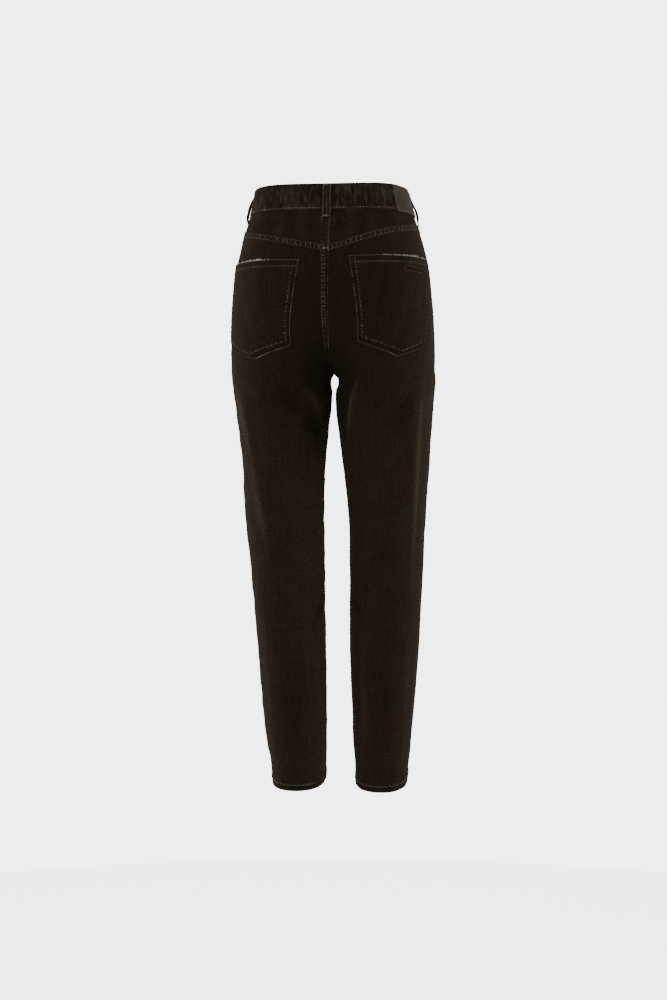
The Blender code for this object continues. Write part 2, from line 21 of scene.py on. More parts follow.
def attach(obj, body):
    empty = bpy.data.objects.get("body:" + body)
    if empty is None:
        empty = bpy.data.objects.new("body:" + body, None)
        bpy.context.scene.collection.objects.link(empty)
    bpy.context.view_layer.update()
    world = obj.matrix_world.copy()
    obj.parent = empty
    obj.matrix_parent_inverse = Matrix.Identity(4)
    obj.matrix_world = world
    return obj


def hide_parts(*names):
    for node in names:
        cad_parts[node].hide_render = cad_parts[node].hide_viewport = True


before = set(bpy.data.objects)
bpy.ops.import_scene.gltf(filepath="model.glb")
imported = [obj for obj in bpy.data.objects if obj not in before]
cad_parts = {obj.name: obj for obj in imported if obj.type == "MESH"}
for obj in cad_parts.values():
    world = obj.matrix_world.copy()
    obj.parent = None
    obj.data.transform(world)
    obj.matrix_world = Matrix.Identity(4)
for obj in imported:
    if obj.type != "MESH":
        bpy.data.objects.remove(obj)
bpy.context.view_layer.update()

LOG = logging.getLogger("jeans")
MM = 0.001
Colour = tuple[float, float, float]

BAND_TOP = 21.0
BAND_BOTTOM = -20.0
CROTCH = -267.0
HEM_SIDE = -916.5
HEM_DROP = 13.5
HEM_HEIGHT = 12.0
SIDE_SEAM_HIP = 101.0
SIDE_SEAM_HEM = 97.0
BACK_LENGTH = 230.0
HALF_WAIST = 352.0
CLOTH = 1.3


class Side(Enum):
    """Which half of the jeans, as the wearer has it."""

    LEFT = 1
    RIGHT = -1


class Face(Enum):
    """Which panel of a leg half."""

    BACK = "back"
    FRONT = "front"


class FormRow(NamedTuple):
    """One level of a leg half's section."""

    height: float
    centre: float
    half: float
    back: float
    front: float
    depth_centre: float
    square: float
    join_back: float
    join_front: float


class Fold(NamedTuple):
    """A trough or ridge from one point of a leg half to another."""

    start_angle: float
    start_height: float
    end_angle: float
    end_height: float
    width: float
    depth: float


LEFT_WAIST_ROWS = (
    FormRow(24, 44.0, 78.5, 87, 84, 0, 2.8, 0.00, 0.00),
    FormRow(-20, 47.0, 84.0, 95, 90, 0, 2.8, 0.05, 0.02),
)
RIGHT_WAIST_ROWS = (
    FormRow(24, 44.0, 73.5, 87, 84, 0, 2.8, 0.00, 0.00),
    FormRow(-20, 47.0, 82.5, 95, 90, 0, 2.8, 0.05, 0.02),
)
TRUNK_ROWS = (
    FormRow(-60, 54.0, 89.0, 108, 95, 0, 2.6, 0.12, 0.06),
    FormRow(-100, 61.0, 91.0, 118, 98, 0, 2.5, 0.20, 0.14),
    FormRow(-150, 69.0, 88.5, 124, 98, 0, 2.4, 0.36, 0.32),
    FormRow(-200, 75.0, 85.7, 125, 97, 0, 2.35, 0.58, 0.58),
    FormRow(-240, 79.0, 82.9, 119, 95, 0, 2.3, 0.80, 0.82),
    FormRow(-267, 81.0, 80.85, 112.5, 92.5, 0, 2.3, 1.00, 1.00),
)
LEFT_LEG_ROWS = (
    FormRow(-273, 82.4, 79.2, 111, 92, 0, 2.3, 1, 1),
    FormRow(-301, 80.4, 77.6, 104.5, 89.5, 0, 2.3, 1, 1),
    FormRow(-349, 80.2, 72.4, 96, 86, -2, 2.25, 1, 1),
    FormRow(-397, 79.9, 67.2, 88, 83, -4, 2.2, 1, 1),
    FormRow(-493, 79.5, 63.0, 76, 76, -8, 2.2, 1, 1),
    FormRow(-565, 75.3, 60.0, 70, 73, -10, 2.2, 1, 1),
    FormRow(-637, 72.0, 56.8, 67, 68, -12, 2.2, 1, 1),
    FormRow(-709, 68.4, 54.4, 65, 63, -14, 2.2, 1, 1),
    FormRow(-781, 65.2, 52.2, 62, 58, -16, 2.2, 1, 1),
    FormRow(-853, 61.4, 48.0, 58, 54, -18, 2.3, 1, 1),
    FormRow(-901, 57.6, 43.4, 56, 52, -20, 2.4, 1, 1),
    FormRow(-935, 57.0, 42.4, 55, 51, -20, 2.4, 1, 1),
)
RIGHT_LEG_ROWS = (
    FormRow(-273, 84.4, 78.0, 111, 92, 0, 2.3, 1, 1),
    FormRow(-301, 82.9, 78.0, 104.5, 89.5, 0, 2.3, 1, 1),
    FormRow(-349, 82.6, 74.6, 96, 86, -2, 2.25, 1, 1),
    FormRow(-397, 84.1, 70.0, 88, 83, -4, 2.2, 1, 1),
    FormRow(-493, 85.2, 61.2, 76, 76, -8, 2.2, 1, 1),
    FormRow(-565, 84.2, 58.4, 70, 73, -10, 2.2, 1, 1),
    FormRow(-637, 82.6, 56.8, 67, 68, -12, 2.2, 1, 1),
    FormRow(-709, 80.6, 54.8, 65, 63, -14, 2.2, 1, 1),
    FormRow(-781, 78.8, 50.6, 62, 58, -16, 2.2, 1, 1),
    FormRow(-853, 76.9, 45.8, 58, 54, -18, 2.3, 1, 1),
    FormRow(-901, 75.9, 41.8, 56, 52, -20, 2.4, 1, 1),
    FormRow(-935, 75.6, 41.0, 55, 51, -20, 2.4, 1, 1),
)
FORM_ROWS = {
    Side.LEFT: LEFT_WAIST_ROWS + TRUNK_ROWS + LEFT_LEG_ROWS,
    Side.RIGHT: RIGHT_WAIST_ROWS + TRUNK_ROWS + RIGHT_LEG_ROWS,
}

# The large folds are the solids' own, and the small ones come on top of them
FOLDS = {
    Side.LEFT: (
        Fold(-2, -298, -23, -338, 9, -3.0),
        Fold(-23, -338, -69, -382, 10, -2.0),
        Fold(-26, -290, -57, -347, 8, 1.8),
        Fold(205, -300, 160, -345, 11, -3.0),
        Fold(215, -288, 190, -312, 9, 2.0),
        Fold(-86, -598, -58, -652, 10, -2.6),
        Fold(150, -560, 205, -585, 12, -2.4),
        Fold(43, -278, 34, -400, 9, 2.0),
        Fold(34, -400, 17, -545, 10, 1.8),
    ),
    Side.RIGHT: (
        Fold(-21, -278, -40, -374, 7, 2.2),
        Fold(-33, -282, -56, -374, 9, -2.2),
        Fold(30, -288, 14, -372, 10, -1.6),
        Fold(205, -305, 158, -352, 11, -3.0),
        Fold(215, -292, 190, -316, 9, 2.0),
        Fold(-66, -596, -42, -648, 10, -2.6),
        Fold(152, -570, 208, -592, 12, -2.4),
        Fold(41, -276, 41, -590, 7, 2.0),
    ),
}
CREASES = {
    Side.LEFT: (
        Fold(-6, -292, -30, -332, 3.5, -1.2),
        Fold(-20, -318, -62, -366, 4.0, -0.7),
        Fold(-14, -282, -46, -330, 3.5, 1.0),
        Fold(-44, -300, -72, -352, 3.0, 1.2),
        Fold(14, -300, -8, -330, 6.0, -0.9),
        Fold(30, -286, 8, -318, 5.0, 0.7),
        Fold(40, -282, 24, -470, 4.0, 1.2),
        Fold(26, -440, 14, -560, 5.0, 0.8),
        Fold(28, -300, 20, -440, 8.0, -0.8),
        Fold(-78, -372, -74, -500, 4.0, 1.1),
        Fold(-84, -588, -60, -636, 4.0, 0.9),
        Fold(-64, -626, -40, -676, 5.0, -0.8),
        Fold(40, -585, 62, -622, 6.0, -0.8),
        Fold(36, -640, 32, -890, 7.0, 1.2),
        Fold(-52, -700, -56, -890, 7.0, 0.9),
        Fold(-8, -690, -6, -880, 14.0, -0.8),
        Fold(170, -600, 215, -618, 7.0, 1.0),
        Fold(140, -540, 190, -552, 7.0, -0.8),
        Fold(228, -300, 196, -372, 5.0, 1.0),
        Fold(150, -300, 132, -340, 6.0, -0.9),
        Fold(240, -320, 214, -392, 5.0, -1.0),
        Fold(176, -860, 214, -884, 7.0, 0.8),
        Fold(96, -430, 92, -620, 6.0, 0.6),
    ),
    Side.RIGHT: (
        Fold(-20, -270, -22, -300, 1.7, 1.3),
        Fold(-21, -286, -40, -376, 1.7, 1.7),
        Fold(-25, -282, -44, -372, 3.5, -1.8),
        Fold(-62, -300, -70, -400, 3.5, 1.3),
        Fold(-74, -380, -66, -500, 3.5, 1.0),
        Fold(8, -290, -8, -340, 6.0, -0.7),
        Fold(28, -276, 20, -330, 5.0, 0.6),
        Fold(41, -272, 41, -600, 3.0, 1.5),
        Fold(27, -300, 28, -520, 8.0, -0.9),
        Fold(-64, -586, -42, -632, 4.0, 0.9),
        Fold(-46, -622, -26, -668, 5.0, -0.8),
        Fold(44, -600, 60, -640, 6.0, -0.8),
        Fold(-27, -680, -27, -892, 6.0, 1.2),
        Fold(41, -660, 41, -892, 6.0, 1.1),
        Fold(6, -690, 6, -880, 12.0, -0.8),
        Fold(168, -606, 212, -626, 7.0, 1.0),
        Fold(142, -548, 192, -560, 7.0, -0.8),
        Fold(228, -304, 198, -380, 5.0, 1.0),
        Fold(148, -296, 130, -342, 6.0, -0.9),
        Fold(238, -326, 212, -398, 5.0, -1.0),
        Fold(178, -856, 212, -880, 7.0, 0.8),
        Fold(96, -420, 92, -630, 6.0, 0.6),
    ),
}


def smooth_step(low: float, high: float, value: np.ndarray) -> np.ndarray:
    """0 below low and 1 above high, with a soft change between.

    Args:
        low: Where the change starts.
        high: Where it ends.
        value: The values to look up.

    Returns:
        The share from 0 to 1.
    """
    part = np.clip((value - low) / (high - low), 0.0, 1.0)
    return part * part * (3.0 - 2.0 * part)


def plateau(value: np.ndarray, low: float, high: float, soft: float) -> np.ndarray:
    """1 between low and high, falling softly to 0 outside.

    Args:
        value: Distances in millimetres.
        low: Where the flat top starts.
        high: Where it ends.
        soft: Width of each slope.

    Returns:
        The share from 0 to 1.
    """
    return smooth_step(low - soft, low, value) * (1.0 - smooth_step(high, high + soft, value))


def bell(value: np.ndarray, place: float, width: float) -> np.ndarray:
    """Soft bump of height 1 at a place."""
    return np.exp(-(((value - place) / width) ** 2))


def uneven(across: np.ndarray, along: np.ndarray, size: float, seed: int) -> np.ndarray:
    """Irregular soft waves between about -1 and 1.

    Args:
        across: First coordinate in millimetres.
        along: Second coordinate in millimetres.
        size: Typical length of a wave in millimetres.
        seed: Picks the pattern.

    Returns:
        The waves' height.
    """
    pick = np.random.default_rng(seed)
    total = np.zeros(np.broadcast(across, along).shape)
    for _ in range(7):
        turn = pick.uniform(0.0, math.tau)
        rate = math.tau / (size * pick.uniform(0.6, 1.7))
        phase = pick.uniform(0.0, math.tau)
        total = total + np.sin((across * math.cos(turn) + along * math.sin(turn)) * rate + phase)
    return total / 3.2


SEAT_STRIP = {Side.LEFT: 7.8, Side.RIGHT: 4.2}


@dataclass(frozen=True)
class LegForm:
    """The filled-out form of one half of the jeans, from waist to hem."""

    side: Side
    rows: tuple[FormRow, ...]
    folds: tuple[Fold, ...]

    def column(self, name: str, height: np.ndarray) -> np.ndarray:
        """Smooth curve through one column of the form's table.

        Args:
            name: The column.
            height: Heights in millimetres.

        Returns:
            The column's value at each height.
        """
        levels = np.array([float(row.height) for row in self.rows])[::-1]
        values = np.array([float(getattr(row, name)) for row in self.rows])[::-1]
        slopes = np.gradient(values, levels)
        height = np.clip(height, levels[0], levels[-1])
        place = np.clip(np.searchsorted(levels, height) - 1, 0, len(levels) - 2)
        span = levels[place + 1] - levels[place]
        part = (height - levels[place]) / span
        square = part * part
        cube = square * part
        return (
            (2 * cube - 3 * square + 1) * values[place]
            + (cube - 2 * square + part) * span * slopes[place]
            + (3 * square - 2 * cube) * values[place + 1]
            + (cube - square) * span * slopes[place + 1]
        )

    def base(self, angle: np.ndarray, height: np.ndarray) -> np.ndarray:
        """Points of the smooth form before any fold, in millimetres."""
        across = np.sin(np.radians(angle))
        along = np.cos(np.radians(angle))
        centre = self.column("centre", height)
        half = self.column("half", height)
        square = self.column("square", height)
        back = self.column("back", height)
        front = self.column("front", height)
        join = np.where(
            along >= 0, self.column("join_back", height), self.column("join_front", height)
        )
        inner = np.where(height > CROTCH, join / centre, 1.0 / half)
        wide = np.where(across >= 0, 1.0 / half, inner)
        deep = np.where(along >= 0, 1.0 / back, 1.0 / front)
        reach = (np.abs(across) * wide) ** square + (np.abs(along) * deep) ** square
        radius = reach ** (-1.0 / square)
        x = self.side.value * (centre + radius * across)
        y = self.column("depth_centre", height) + radius * along
        return np.stack([x, y, height + 0.0 * radius], axis=-1)

    def normal(self, angle: np.ndarray, height: np.ndarray) -> np.ndarray:
        """Outward directions of the smooth form."""
        round_step = self.base(angle + 0.5, height) - self.base(angle - 0.5, height)
        up_step = self.base(angle, height + 0.7) - self.base(angle, height - 0.7)
        direction = np.cross(up_step, round_step) * self.side.value
        return direction / np.linalg.norm(direction, axis=-1, keepdims=True)

    def fold_depth(self, folds: tuple[Fold, ...], angle: np.ndarray, height: np.ndarray) -> np.ndarray:
        """How far folds move the cloth in or out.

        Args:
            folds: The folds to lay.
            angle: Angles round the half.
            height: Heights in millimetres.

        Returns:
            The move in millimetres.
        """
        total = np.zeros(np.broadcast(angle, height).shape)
        for fold in folds:
            middle = np.array((fold.start_height + fold.end_height) / 2)
            reach = float(self.column("half", middle)) + float(self.column("back", middle))
            scale = math.radians(1.0) * 0.5 * reach
            turn = (angle - fold.start_angle + 180.0) % 360.0 - 180.0
            run_x = (fold.end_angle - fold.start_angle) * scale
            run_z = fold.end_height - fold.start_height
            length = math.hypot(run_x, run_z)
            off_z = height - fold.start_height
            ahead = (turn * scale * run_x + off_z * run_z) / length
            aside = (turn * scale * run_z - off_z * run_x) / length
            fade = np.clip(1.0 - np.abs(2.0 * ahead / length - 1.0) ** 2 * 0.9, 0.0, 1.0)
            along = ahead / length
            inside = smooth_step(-0.08, 0.06, along) * (1.0 - smooth_step(0.94, 1.08, along))
            total = total + fold.depth * np.exp(-((aside / fold.width) ** 2)) * fade * inside
        return total

    def creases(self, angle: np.ndarray, height: np.ndarray) -> np.ndarray:
        """All of the folds and small creases together, in millimetres."""
        return self.fold_depth(self.folds + CREASES[self.side], angle, height)

    def point(self, angle: np.ndarray, height: np.ndarray, out: np.ndarray) -> np.ndarray:
        """Points of the folded form, moved out along its normals.

        Args:
            angle: Angles round the half.
            height: Heights in millimetres.
            out: How far out of the folded form.

        Returns:
            The points in millimetres.
        """
        move = self.creases(angle, height) + out
        return self.base(angle, height) + self.normal(angle, height) * move[..., None]

    def seam(self, face: Face, height: np.ndarray) -> np.ndarray:
        """Angle of the centre seam above the crotch and of the inseam below it."""
        centre = self.column("centre", height)
        square = self.column("square", height)
        join = np.clip(self.column("join_" + face.value, height), 0.0, 1.0)
        deep = self.column(face.value, height) * (1.0 - join**square) ** (1.0 / square)
        above = np.degrees(np.arctan2(centre, np.maximum(deep, 0.05)))
        turn = np.where(height > CROTCH, above, 90.0)
        return -turn if face is Face.BACK else 180.0 + turn

    def spread(
        self, start: np.ndarray, end: np.ndarray, height: np.ndarray, share: np.ndarray
    ) -> tuple[np.ndarray, np.ndarray]:
        """Angles that divide the cloth evenly between two seams.

        Args:
            start: Angle of the first seam at each point's height.
            end: Angle of the second.
            height: Heights in millimetres.
            share: How far each point is on the way between them, from 0 to 1.

        Returns:
            The angles, and the width of the cloth between the seams in millimetres.
        """
        shape = np.broadcast(start, end, height, share).shape
        start, end, height, share = (
            np.broadcast_to(item, shape).reshape(-1) for item in (start, end, height, share)
        )
        steps = np.linspace(0.0, 1.0, 33)
        angles = start[:, None] + (end - start)[:, None] * steps
        points = self.base(angles, height[:, None] + 0.0 * steps)
        lengths = np.linalg.norm(np.diff(points[..., :2], axis=1), axis=-1)
        along = np.concatenate([np.zeros((len(height), 1)), np.cumsum(lengths, axis=1)], axis=1)
        goal = share * along[:, -1]
        place = np.clip((along < goal[:, None]).sum(axis=1) - 1, 0, len(steps) - 2)
        pick = np.arange(len(height))
        part = (goal - along[pick, place]) / np.maximum(lengths[pick, place], 1e-9)
        result = angles[pick, place] + (angles[pick, place + 1] - angles[pick, place]) * part
        return result.reshape(shape), along[:, -1].reshape(shape)

    def at_distance(self, height: np.ndarray, distance: np.ndarray) -> np.ndarray:
        """Angle at a distance round the back from the centre-back seam."""
        start = self.seam(Face.BACK, height)
        _, width = self.spread(start, 150.0 + 0.0 * start, height, 0.0 * height)
        angle, _ = self.spread(start, 150.0 + 0.0 * start, height, distance / width)
        return angle


FORMS = {side: LegForm(side, FORM_ROWS[side], FOLDS[side]) for side in Side}


def side_seam(height: np.ndarray) -> np.ndarray:
    """Angle of the side seam, a little forward of the widest place."""
    part = smooth_step(CROTCH, HEM_SIDE, height)
    return SIDE_SEAM_HIP + (SIDE_SEAM_HEM - SIDE_SEAM_HIP) * part


def yoke_line(side: Side, distance: np.ndarray) -> np.ndarray:
    """Height of the yoke seam at a distance round the back.

    Args:
        side: Which half.
        distance: Millimetres round from the centre-back seam.

    Returns:
        The height in millimetres.
    """
    places = (0.0, 35.0, 70.0, 105.0, 185.0, 230.0)
    heights = {
        Side.LEFT: (-79.0, -71.0, -64.0, -57.0, -42.0, -37.0),
        Side.RIGHT: (-79.0, -68.5, -57.5, -48.5, -36.0, -33.0),
    }
    return np.interp(distance, places, heights[side])


@dataclass
class Cloth:
    """One cut piece: matching grids of its outer and inner points, and its wear."""

    name: str
    across: np.ndarray
    height: np.ndarray
    outer: np.ndarray
    inner: np.ndarray
    wear: np.ndarray
    fade: np.ndarray

    def at(self, across: np.ndarray, height: np.ndarray) -> np.ndarray:
        """Points of the outer side.

        Args:
            across: Share of the way across the piece, from 0 to 1.
            height: The grid's height coordinate.

        Returns:
            The points in millimetres.
        """
        across, height = np.broadcast_arrays(across, height)
        column = np.interp(across, self.across, np.arange(len(self.across)))
        low = np.clip(np.floor(column).astype(int), 0, len(self.across) - 2)
        share = column - low
        pick = np.arange(len(low))
        result = np.zeros((len(low), 3))
        for place, weight in ((low, 1.0 - share), (low + 1, share)):
            levels = self.height[:, place]
            row = np.clip((levels > height).sum(axis=0) - 1, 0, len(levels) - 2)
            span = levels[row + 1, pick] - levels[row, pick]
            part = np.clip((height - levels[row, pick]) / span, 0.0, 1.0)[:, None]
            point = self.outer[row, place] * (1.0 - part) + self.outer[row + 1, place] * part
            result = result + point * weight[:, None]
        return result

    def facing(self, across: np.ndarray, height: np.ndarray) -> np.ndarray:
        """Outward directions at points of the outer side."""
        inward = self.at(np.maximum(across - 0.004, 0.0), height)
        outward = self.at(np.minimum(across + 0.004, 1.0), height)
        above = self.at(across, height + 0.8)
        below = self.at(across, height - 0.8)
        direction = np.cross(outward - inward, above - below)
        direction = direction / np.maximum(np.linalg.norm(direction, axis=-1, keepdims=True), 1e-9)
        middle = self.outer.shape[1] // 2
        rows = self.outer.shape[0] // 2
        look = self.outer[rows, middle] - self.inner[rows, middle]
        probe = np.cross(
            self.outer[rows, middle + 1] - self.outer[rows, middle],
            self.outer[rows - 1, middle] - self.outer[rows, middle],
        )
        return direction if float(np.dot(probe, look)) > 0 else -direction

    def make(self, material: bpy.types.Material, slot: str, nodes: tuple[str, ...]) -> bpy.types.Object:
        """Closed thin wall between the two grids, as a piece of the object.

        Args:
            material: The finish.
            slot: Not used.
            nodes: The frame's nodes that the piece stands for.

        Returns:
            The new object.
        """
        rows, columns = self.outer.shape[:2]
        sheet = bmesh.new()
        bmesh.ops.create_grid(sheet, x_segments=columns - 1, y_segments=rows - 1, size=0.5)
        extruded = bmesh.ops.extrude_face_region(sheet, geom=list(sheet.faces))
        second = [item for item in extruded["geom"] if isinstance(item, bmesh.types.BMVert)]
        bmesh.ops.translate(sheet, verts=second, vec=(0.0, 0.0, 1.0))
        mesh = bpy.data.meshes.new(self.name)
        sheet.to_mesh(mesh)
        sheet.free()
        place = np.empty(len(mesh.vertices) * 3)
        mesh.vertices.foreach_get("co", place)
        place = place.reshape(-1, 3)
        column = np.rint((place[:, 0] + 0.5) * (columns - 1)).astype(int)
        row = np.rint((place[:, 1] + 0.5) * (rows - 1)).astype(int)
        outside = place[:, 2] > 0.5
        points = np.where(outside[:, None], self.outer[row, column], self.inner[row, column]) * MM
        mesh.vertices.foreach_set("co", points.reshape(-1))
        turn = bmesh.new()
        turn.from_mesh(mesh)
        if turn.calc_volume(signed=True) < 0:
            bmesh.ops.reverse_faces(turn, faces=list(turn.faces))
        turn.to_mesh(mesh)
        turn.free()
        self._lay_patterns(mesh, row, column, outside)
        return dress(self.name + "_cloth", mesh, material, nodes)

    def _lay_patterns(
        self, mesh: bpy.types.Mesh, row: np.ndarray, column: np.ndarray, outside: np.ndarray
    ) -> None:
        """Write the piece's own UV in metres, and its wear and its fading, which carries painted highlight
        and shade.

        Args:
            mesh: The mesh to write to.
            row: Grid row of each vertex.
            column: Grid column of each vertex.
            outside: True for the vertices of the outer side.
        """
        steps = np.linalg.norm(np.diff(self.outer, axis=1), axis=-1)
        along = np.concatenate([np.zeros((len(steps), 1)), np.cumsum(steps, axis=1)], axis=1)
        along = along - along[:, self.outer.shape[1] // 2][:, None]
        places = np.stack([along[row, column], self.outer[row, column, 2]], axis=-1) * MM
        corners = np.empty(len(mesh.loops), dtype=np.int32)
        mesh.loops.foreach_get("vertex_index", corners)
        layer = mesh.uv_layers.new(name="cloth")
        layer.uv.foreach_set("vector", places[corners].astype(np.float32).reshape(-1))
        for name, values in (("wear", self.wear), ("fade", self.fade)):
            marks = mesh.attributes.new(name=name, type="FLOAT", domain="POINT")
            kept = values[row, column] * (1.0 if name == "fade" else outside)
            marks.data.foreach_set("value", kept.astype(np.float32))


def dress(
    name: str, mesh: bpy.types.Mesh, material: bpy.types.Material, nodes: tuple[str, ...] = ()
) -> bpy.types.Object:
    """Object of a finished mesh that rides with the jeans.

    Args:
        name: The piece's name.
        mesh: Its mesh, in place.
        material: Its finish.
        nodes: The frame's nodes that it stands for.

    Returns:
        The new object.
    """
    mesh.materials.append(material)
    mesh.shade_smooth()
    mesh.set_sharp_from_angle(angle=math.radians(60))
    piece = bpy.data.objects.new(name, mesh)
    bpy.context.scene.collection.objects.link(piece)
    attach(piece, "root")
    if nodes:
        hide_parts(*nodes)
    LOG.info("%s: %d faces", name, len(mesh.polygons))
    return piece


@dataclass
class Stitching:
    """Rows of thread laid on pieces of cloth, gathered into one mesh."""

    name: str
    pitch: float = 4.6
    length: float = 3.0
    thickness: float = 0.9
    gathered: bmesh.types.BMesh = field(default_factory=bmesh.new)

    def row(self, cloth: Cloth, across: np.ndarray, height: np.ndarray, lift: float = 0.15) -> None:
        """Lay one row along a line on a piece.

        Args:
            cloth: The piece that is sewn.
            across: Shares across the piece along the line.
            height: Heights along the line.
            lift: How far the thread's middle stands off the cloth, in millimetres.
        """
        across, height = np.broadcast_arrays(np.asarray(across, float), np.asarray(height, float))
        points = cloth.at(across, height)
        facing = cloth.facing(across, height)
        lengths = np.linalg.norm(np.diff(points, axis=0), axis=-1)
        along = np.concatenate([[0.0], np.cumsum(lengths)])
        count = max(int(along[-1] / self.pitch), 1)
        pitch = along[-1] / count
        part = bmesh.new()
        for index in range(count):
            middle = (index + 0.5) * pitch
            ends = [middle - self.length / 2, middle + self.length / 2]
            start, stop = (
                Vector([np.interp(end, along, points[:, axis]) for axis in range(3)]) for end in ends
            )
            up = Vector([np.interp(middle, along, facing[:, axis]) for axis in range(3)])
            self._stitch(part, start, stop, up, lift)
        self._gather(part)

    def tack(self, cloth: Cloth, across: float, height: float, width: float, tall: float) -> None:
        """Sew a bar tack: close upright stitches side by side.

        Args:
            cloth: The piece that is sewn.
            across: Where the tack's middle is, as a share across.
            height: Its height.
            width: Width of the tack as a share across.
            tall: Height of its stitches in millimetres.
        """
        part = bmesh.new()
        shares = np.linspace(across - width / 2, across + width / 2, 11)
        low = cloth.at(shares, np.full(11, height - tall / 2))
        high = cloth.at(shares, np.full(11, height + tall / 2))
        facing = cloth.facing(shares, np.full(11, height))
        for index in range(11):
            self._stitch(part, Vector(low[index]), Vector(high[index]), Vector(facing[index]), 0.25)
        self._gather(part)

    def _stitch(self, part: bmesh.types.BMesh, start: Vector, stop: Vector, up: Vector, lift: float) -> None:
        """Add one stitch between two points.

        Args:
            part: The mesh that grows.
            start: One end in millimetres.
            stop: The other end.
            up: Outward direction there.
            lift: How far its middle stands off the cloth.
        """
        run = stop - start
        if run.length < 0.2 or up.length < 0.1:
            return
        ahead = run.normalized()
        up = (up - ahead * up.dot(ahead)).normalized()
        aside = up.cross(ahead)
        centre = (start + stop) / 2 + up * lift
        turn = Matrix((ahead, aside, up)).transposed().to_4x4()
        size = Matrix.Diagonal((run.length / 2, self.thickness / 2, self.thickness * 0.4, 1.0))
        scale = Matrix.Diagonal((MM, MM, MM, 1.0))
        place = scale @ Matrix.Translation(centre) @ turn @ size
        bmesh.ops.create_uvsphere(part, u_segments=6, v_segments=4, radius=1.0, matrix=place)

    def _gather(self, part: bmesh.types.BMesh) -> None:
        """Add a row's mesh to the rest."""
        kept = bpy.data.meshes.new("row")
        part.to_mesh(kept)
        part.free()
        self.gathered.from_mesh(kept)
        bpy.data.meshes.remove(kept)

    def make(self, material: bpy.types.Material, slot: str) -> bpy.types.Object:
        """Piece of all of the rows.

        Args:
            material: The thread's finish.
            slot: Not used.

        Returns:
            The new object.
        """
        mesh = bpy.data.meshes.new(self.name)
        self.gathered.to_mesh(mesh)
        self.gathered.free()
        return dress(self.name, mesh, material)


class Wiring:
    """Short ways to add and join the nodes of one tree."""

    def __init__(self, tree: bpy.types.NodeTree) -> None:
        """Keep the tree that grows."""
        self.tree = tree

    def add(self, kind: str, **values: object) -> bpy.types.Node:
        """Add a node and set its options.

        Args:
            kind: Blender's name of the node.
            values: Options by name.

        Returns:
            The node.
        """
        node = self.tree.nodes.new(kind)
        for name, value in values.items():
            setattr(node, name, value)
        return node

    def feed(self, socket: bpy.types.NodeSocket, value: object) -> None:
        """Join a socket to another, or set its value."""
        if isinstance(value, bpy.types.NodeSocket):
            self.tree.links.new(value, socket)
        else:
            socket.default_value = value

    def math(self, operation: str, *values: object) -> bpy.types.NodeSocket:
        """Result of a Math node on one, two or three values."""
        node = self.add("ShaderNodeMath", operation=operation)
        for socket, value in zip(node.inputs, values):
            self.feed(socket, value)
        return node.outputs[0]

    def between(self, value: object, low: float, high: float) -> bpy.types.NodeSocket:
        """Share of the way from low to high, softly and within 0 and 1."""
        node = self.add("ShaderNodeMapRange", interpolation_type="SMOOTHSTEP")
        for socket, item in zip(node.inputs, (value, low, high, 0.0, 1.0)):
            self.feed(socket, item)
        return node.outputs[0]

    def blend(self, share: object, first: object, second: object) -> bpy.types.NodeSocket:
        """Mix of two colours by a share."""
        node = self.add("ShaderNodeMix", data_type="RGBA")
        self.feed(node.inputs["Factor"], share)
        self.feed(node.inputs[6], first)
        self.feed(node.inputs[7], second)
        return node.outputs[2]

    def stretched(self, vector: object, scale: tuple[float, float, float]) -> bpy.types.NodeSocket:
        """Vector with each axis scaled."""
        node = self.add("ShaderNodeMapping")
        self.feed(node.inputs["Vector"], vector)
        self.feed(node.inputs["Scale"], scale)
        return node.outputs[0]

    def noise(self, vector: object, scale: float, detail: float, rough: float = 0.5) -> bpy.types.NodeSocket:
        """Soft noise from about 0 to 1 over a vector."""
        node = self.add("ShaderNodeTexNoise")
        self.feed(node.inputs["Vector"], vector)
        self.feed(node.inputs["Scale"], scale)
        self.feed(node.inputs["Detail"], detail)
        self.feed(node.inputs["Roughness"], rough)
        return node.outputs[0]

    def group(self, tree: bpy.types.NodeTree, **values: object) -> bpy.types.Node:
        """Place a node group and feed its inputs by name."""
        node = self.add("ShaderNodeGroup", node_tree=tree)
        for name, value in values.items():
            self.feed(node.inputs[name], value)
        return node


def start_group(
    name: str, inputs: tuple[tuple[str, str], ...], outputs: tuple[str, ...]
) -> bpy.types.NodeTree:
    """New node group with its sockets and its two end nodes.

    Args:
        name: The group's name.
        inputs: Name and socket type of each input.
        outputs: Names of its value outputs.

    Returns:
        The group's tree.
    """
    tree = bpy.data.node_groups.new(name, "ShaderNodeTree")
    for label, kind in inputs:
        tree.interface.new_socket(name=label, in_out="INPUT", socket_type=kind)
    for label in outputs:
        tree.interface.new_socket(name=label, in_out="OUTPUT", socket_type="NodeSocketFloat")
    tree.nodes.new("NodeGroupInput")
    tree.nodes.new("NodeGroupOutput")
    return tree


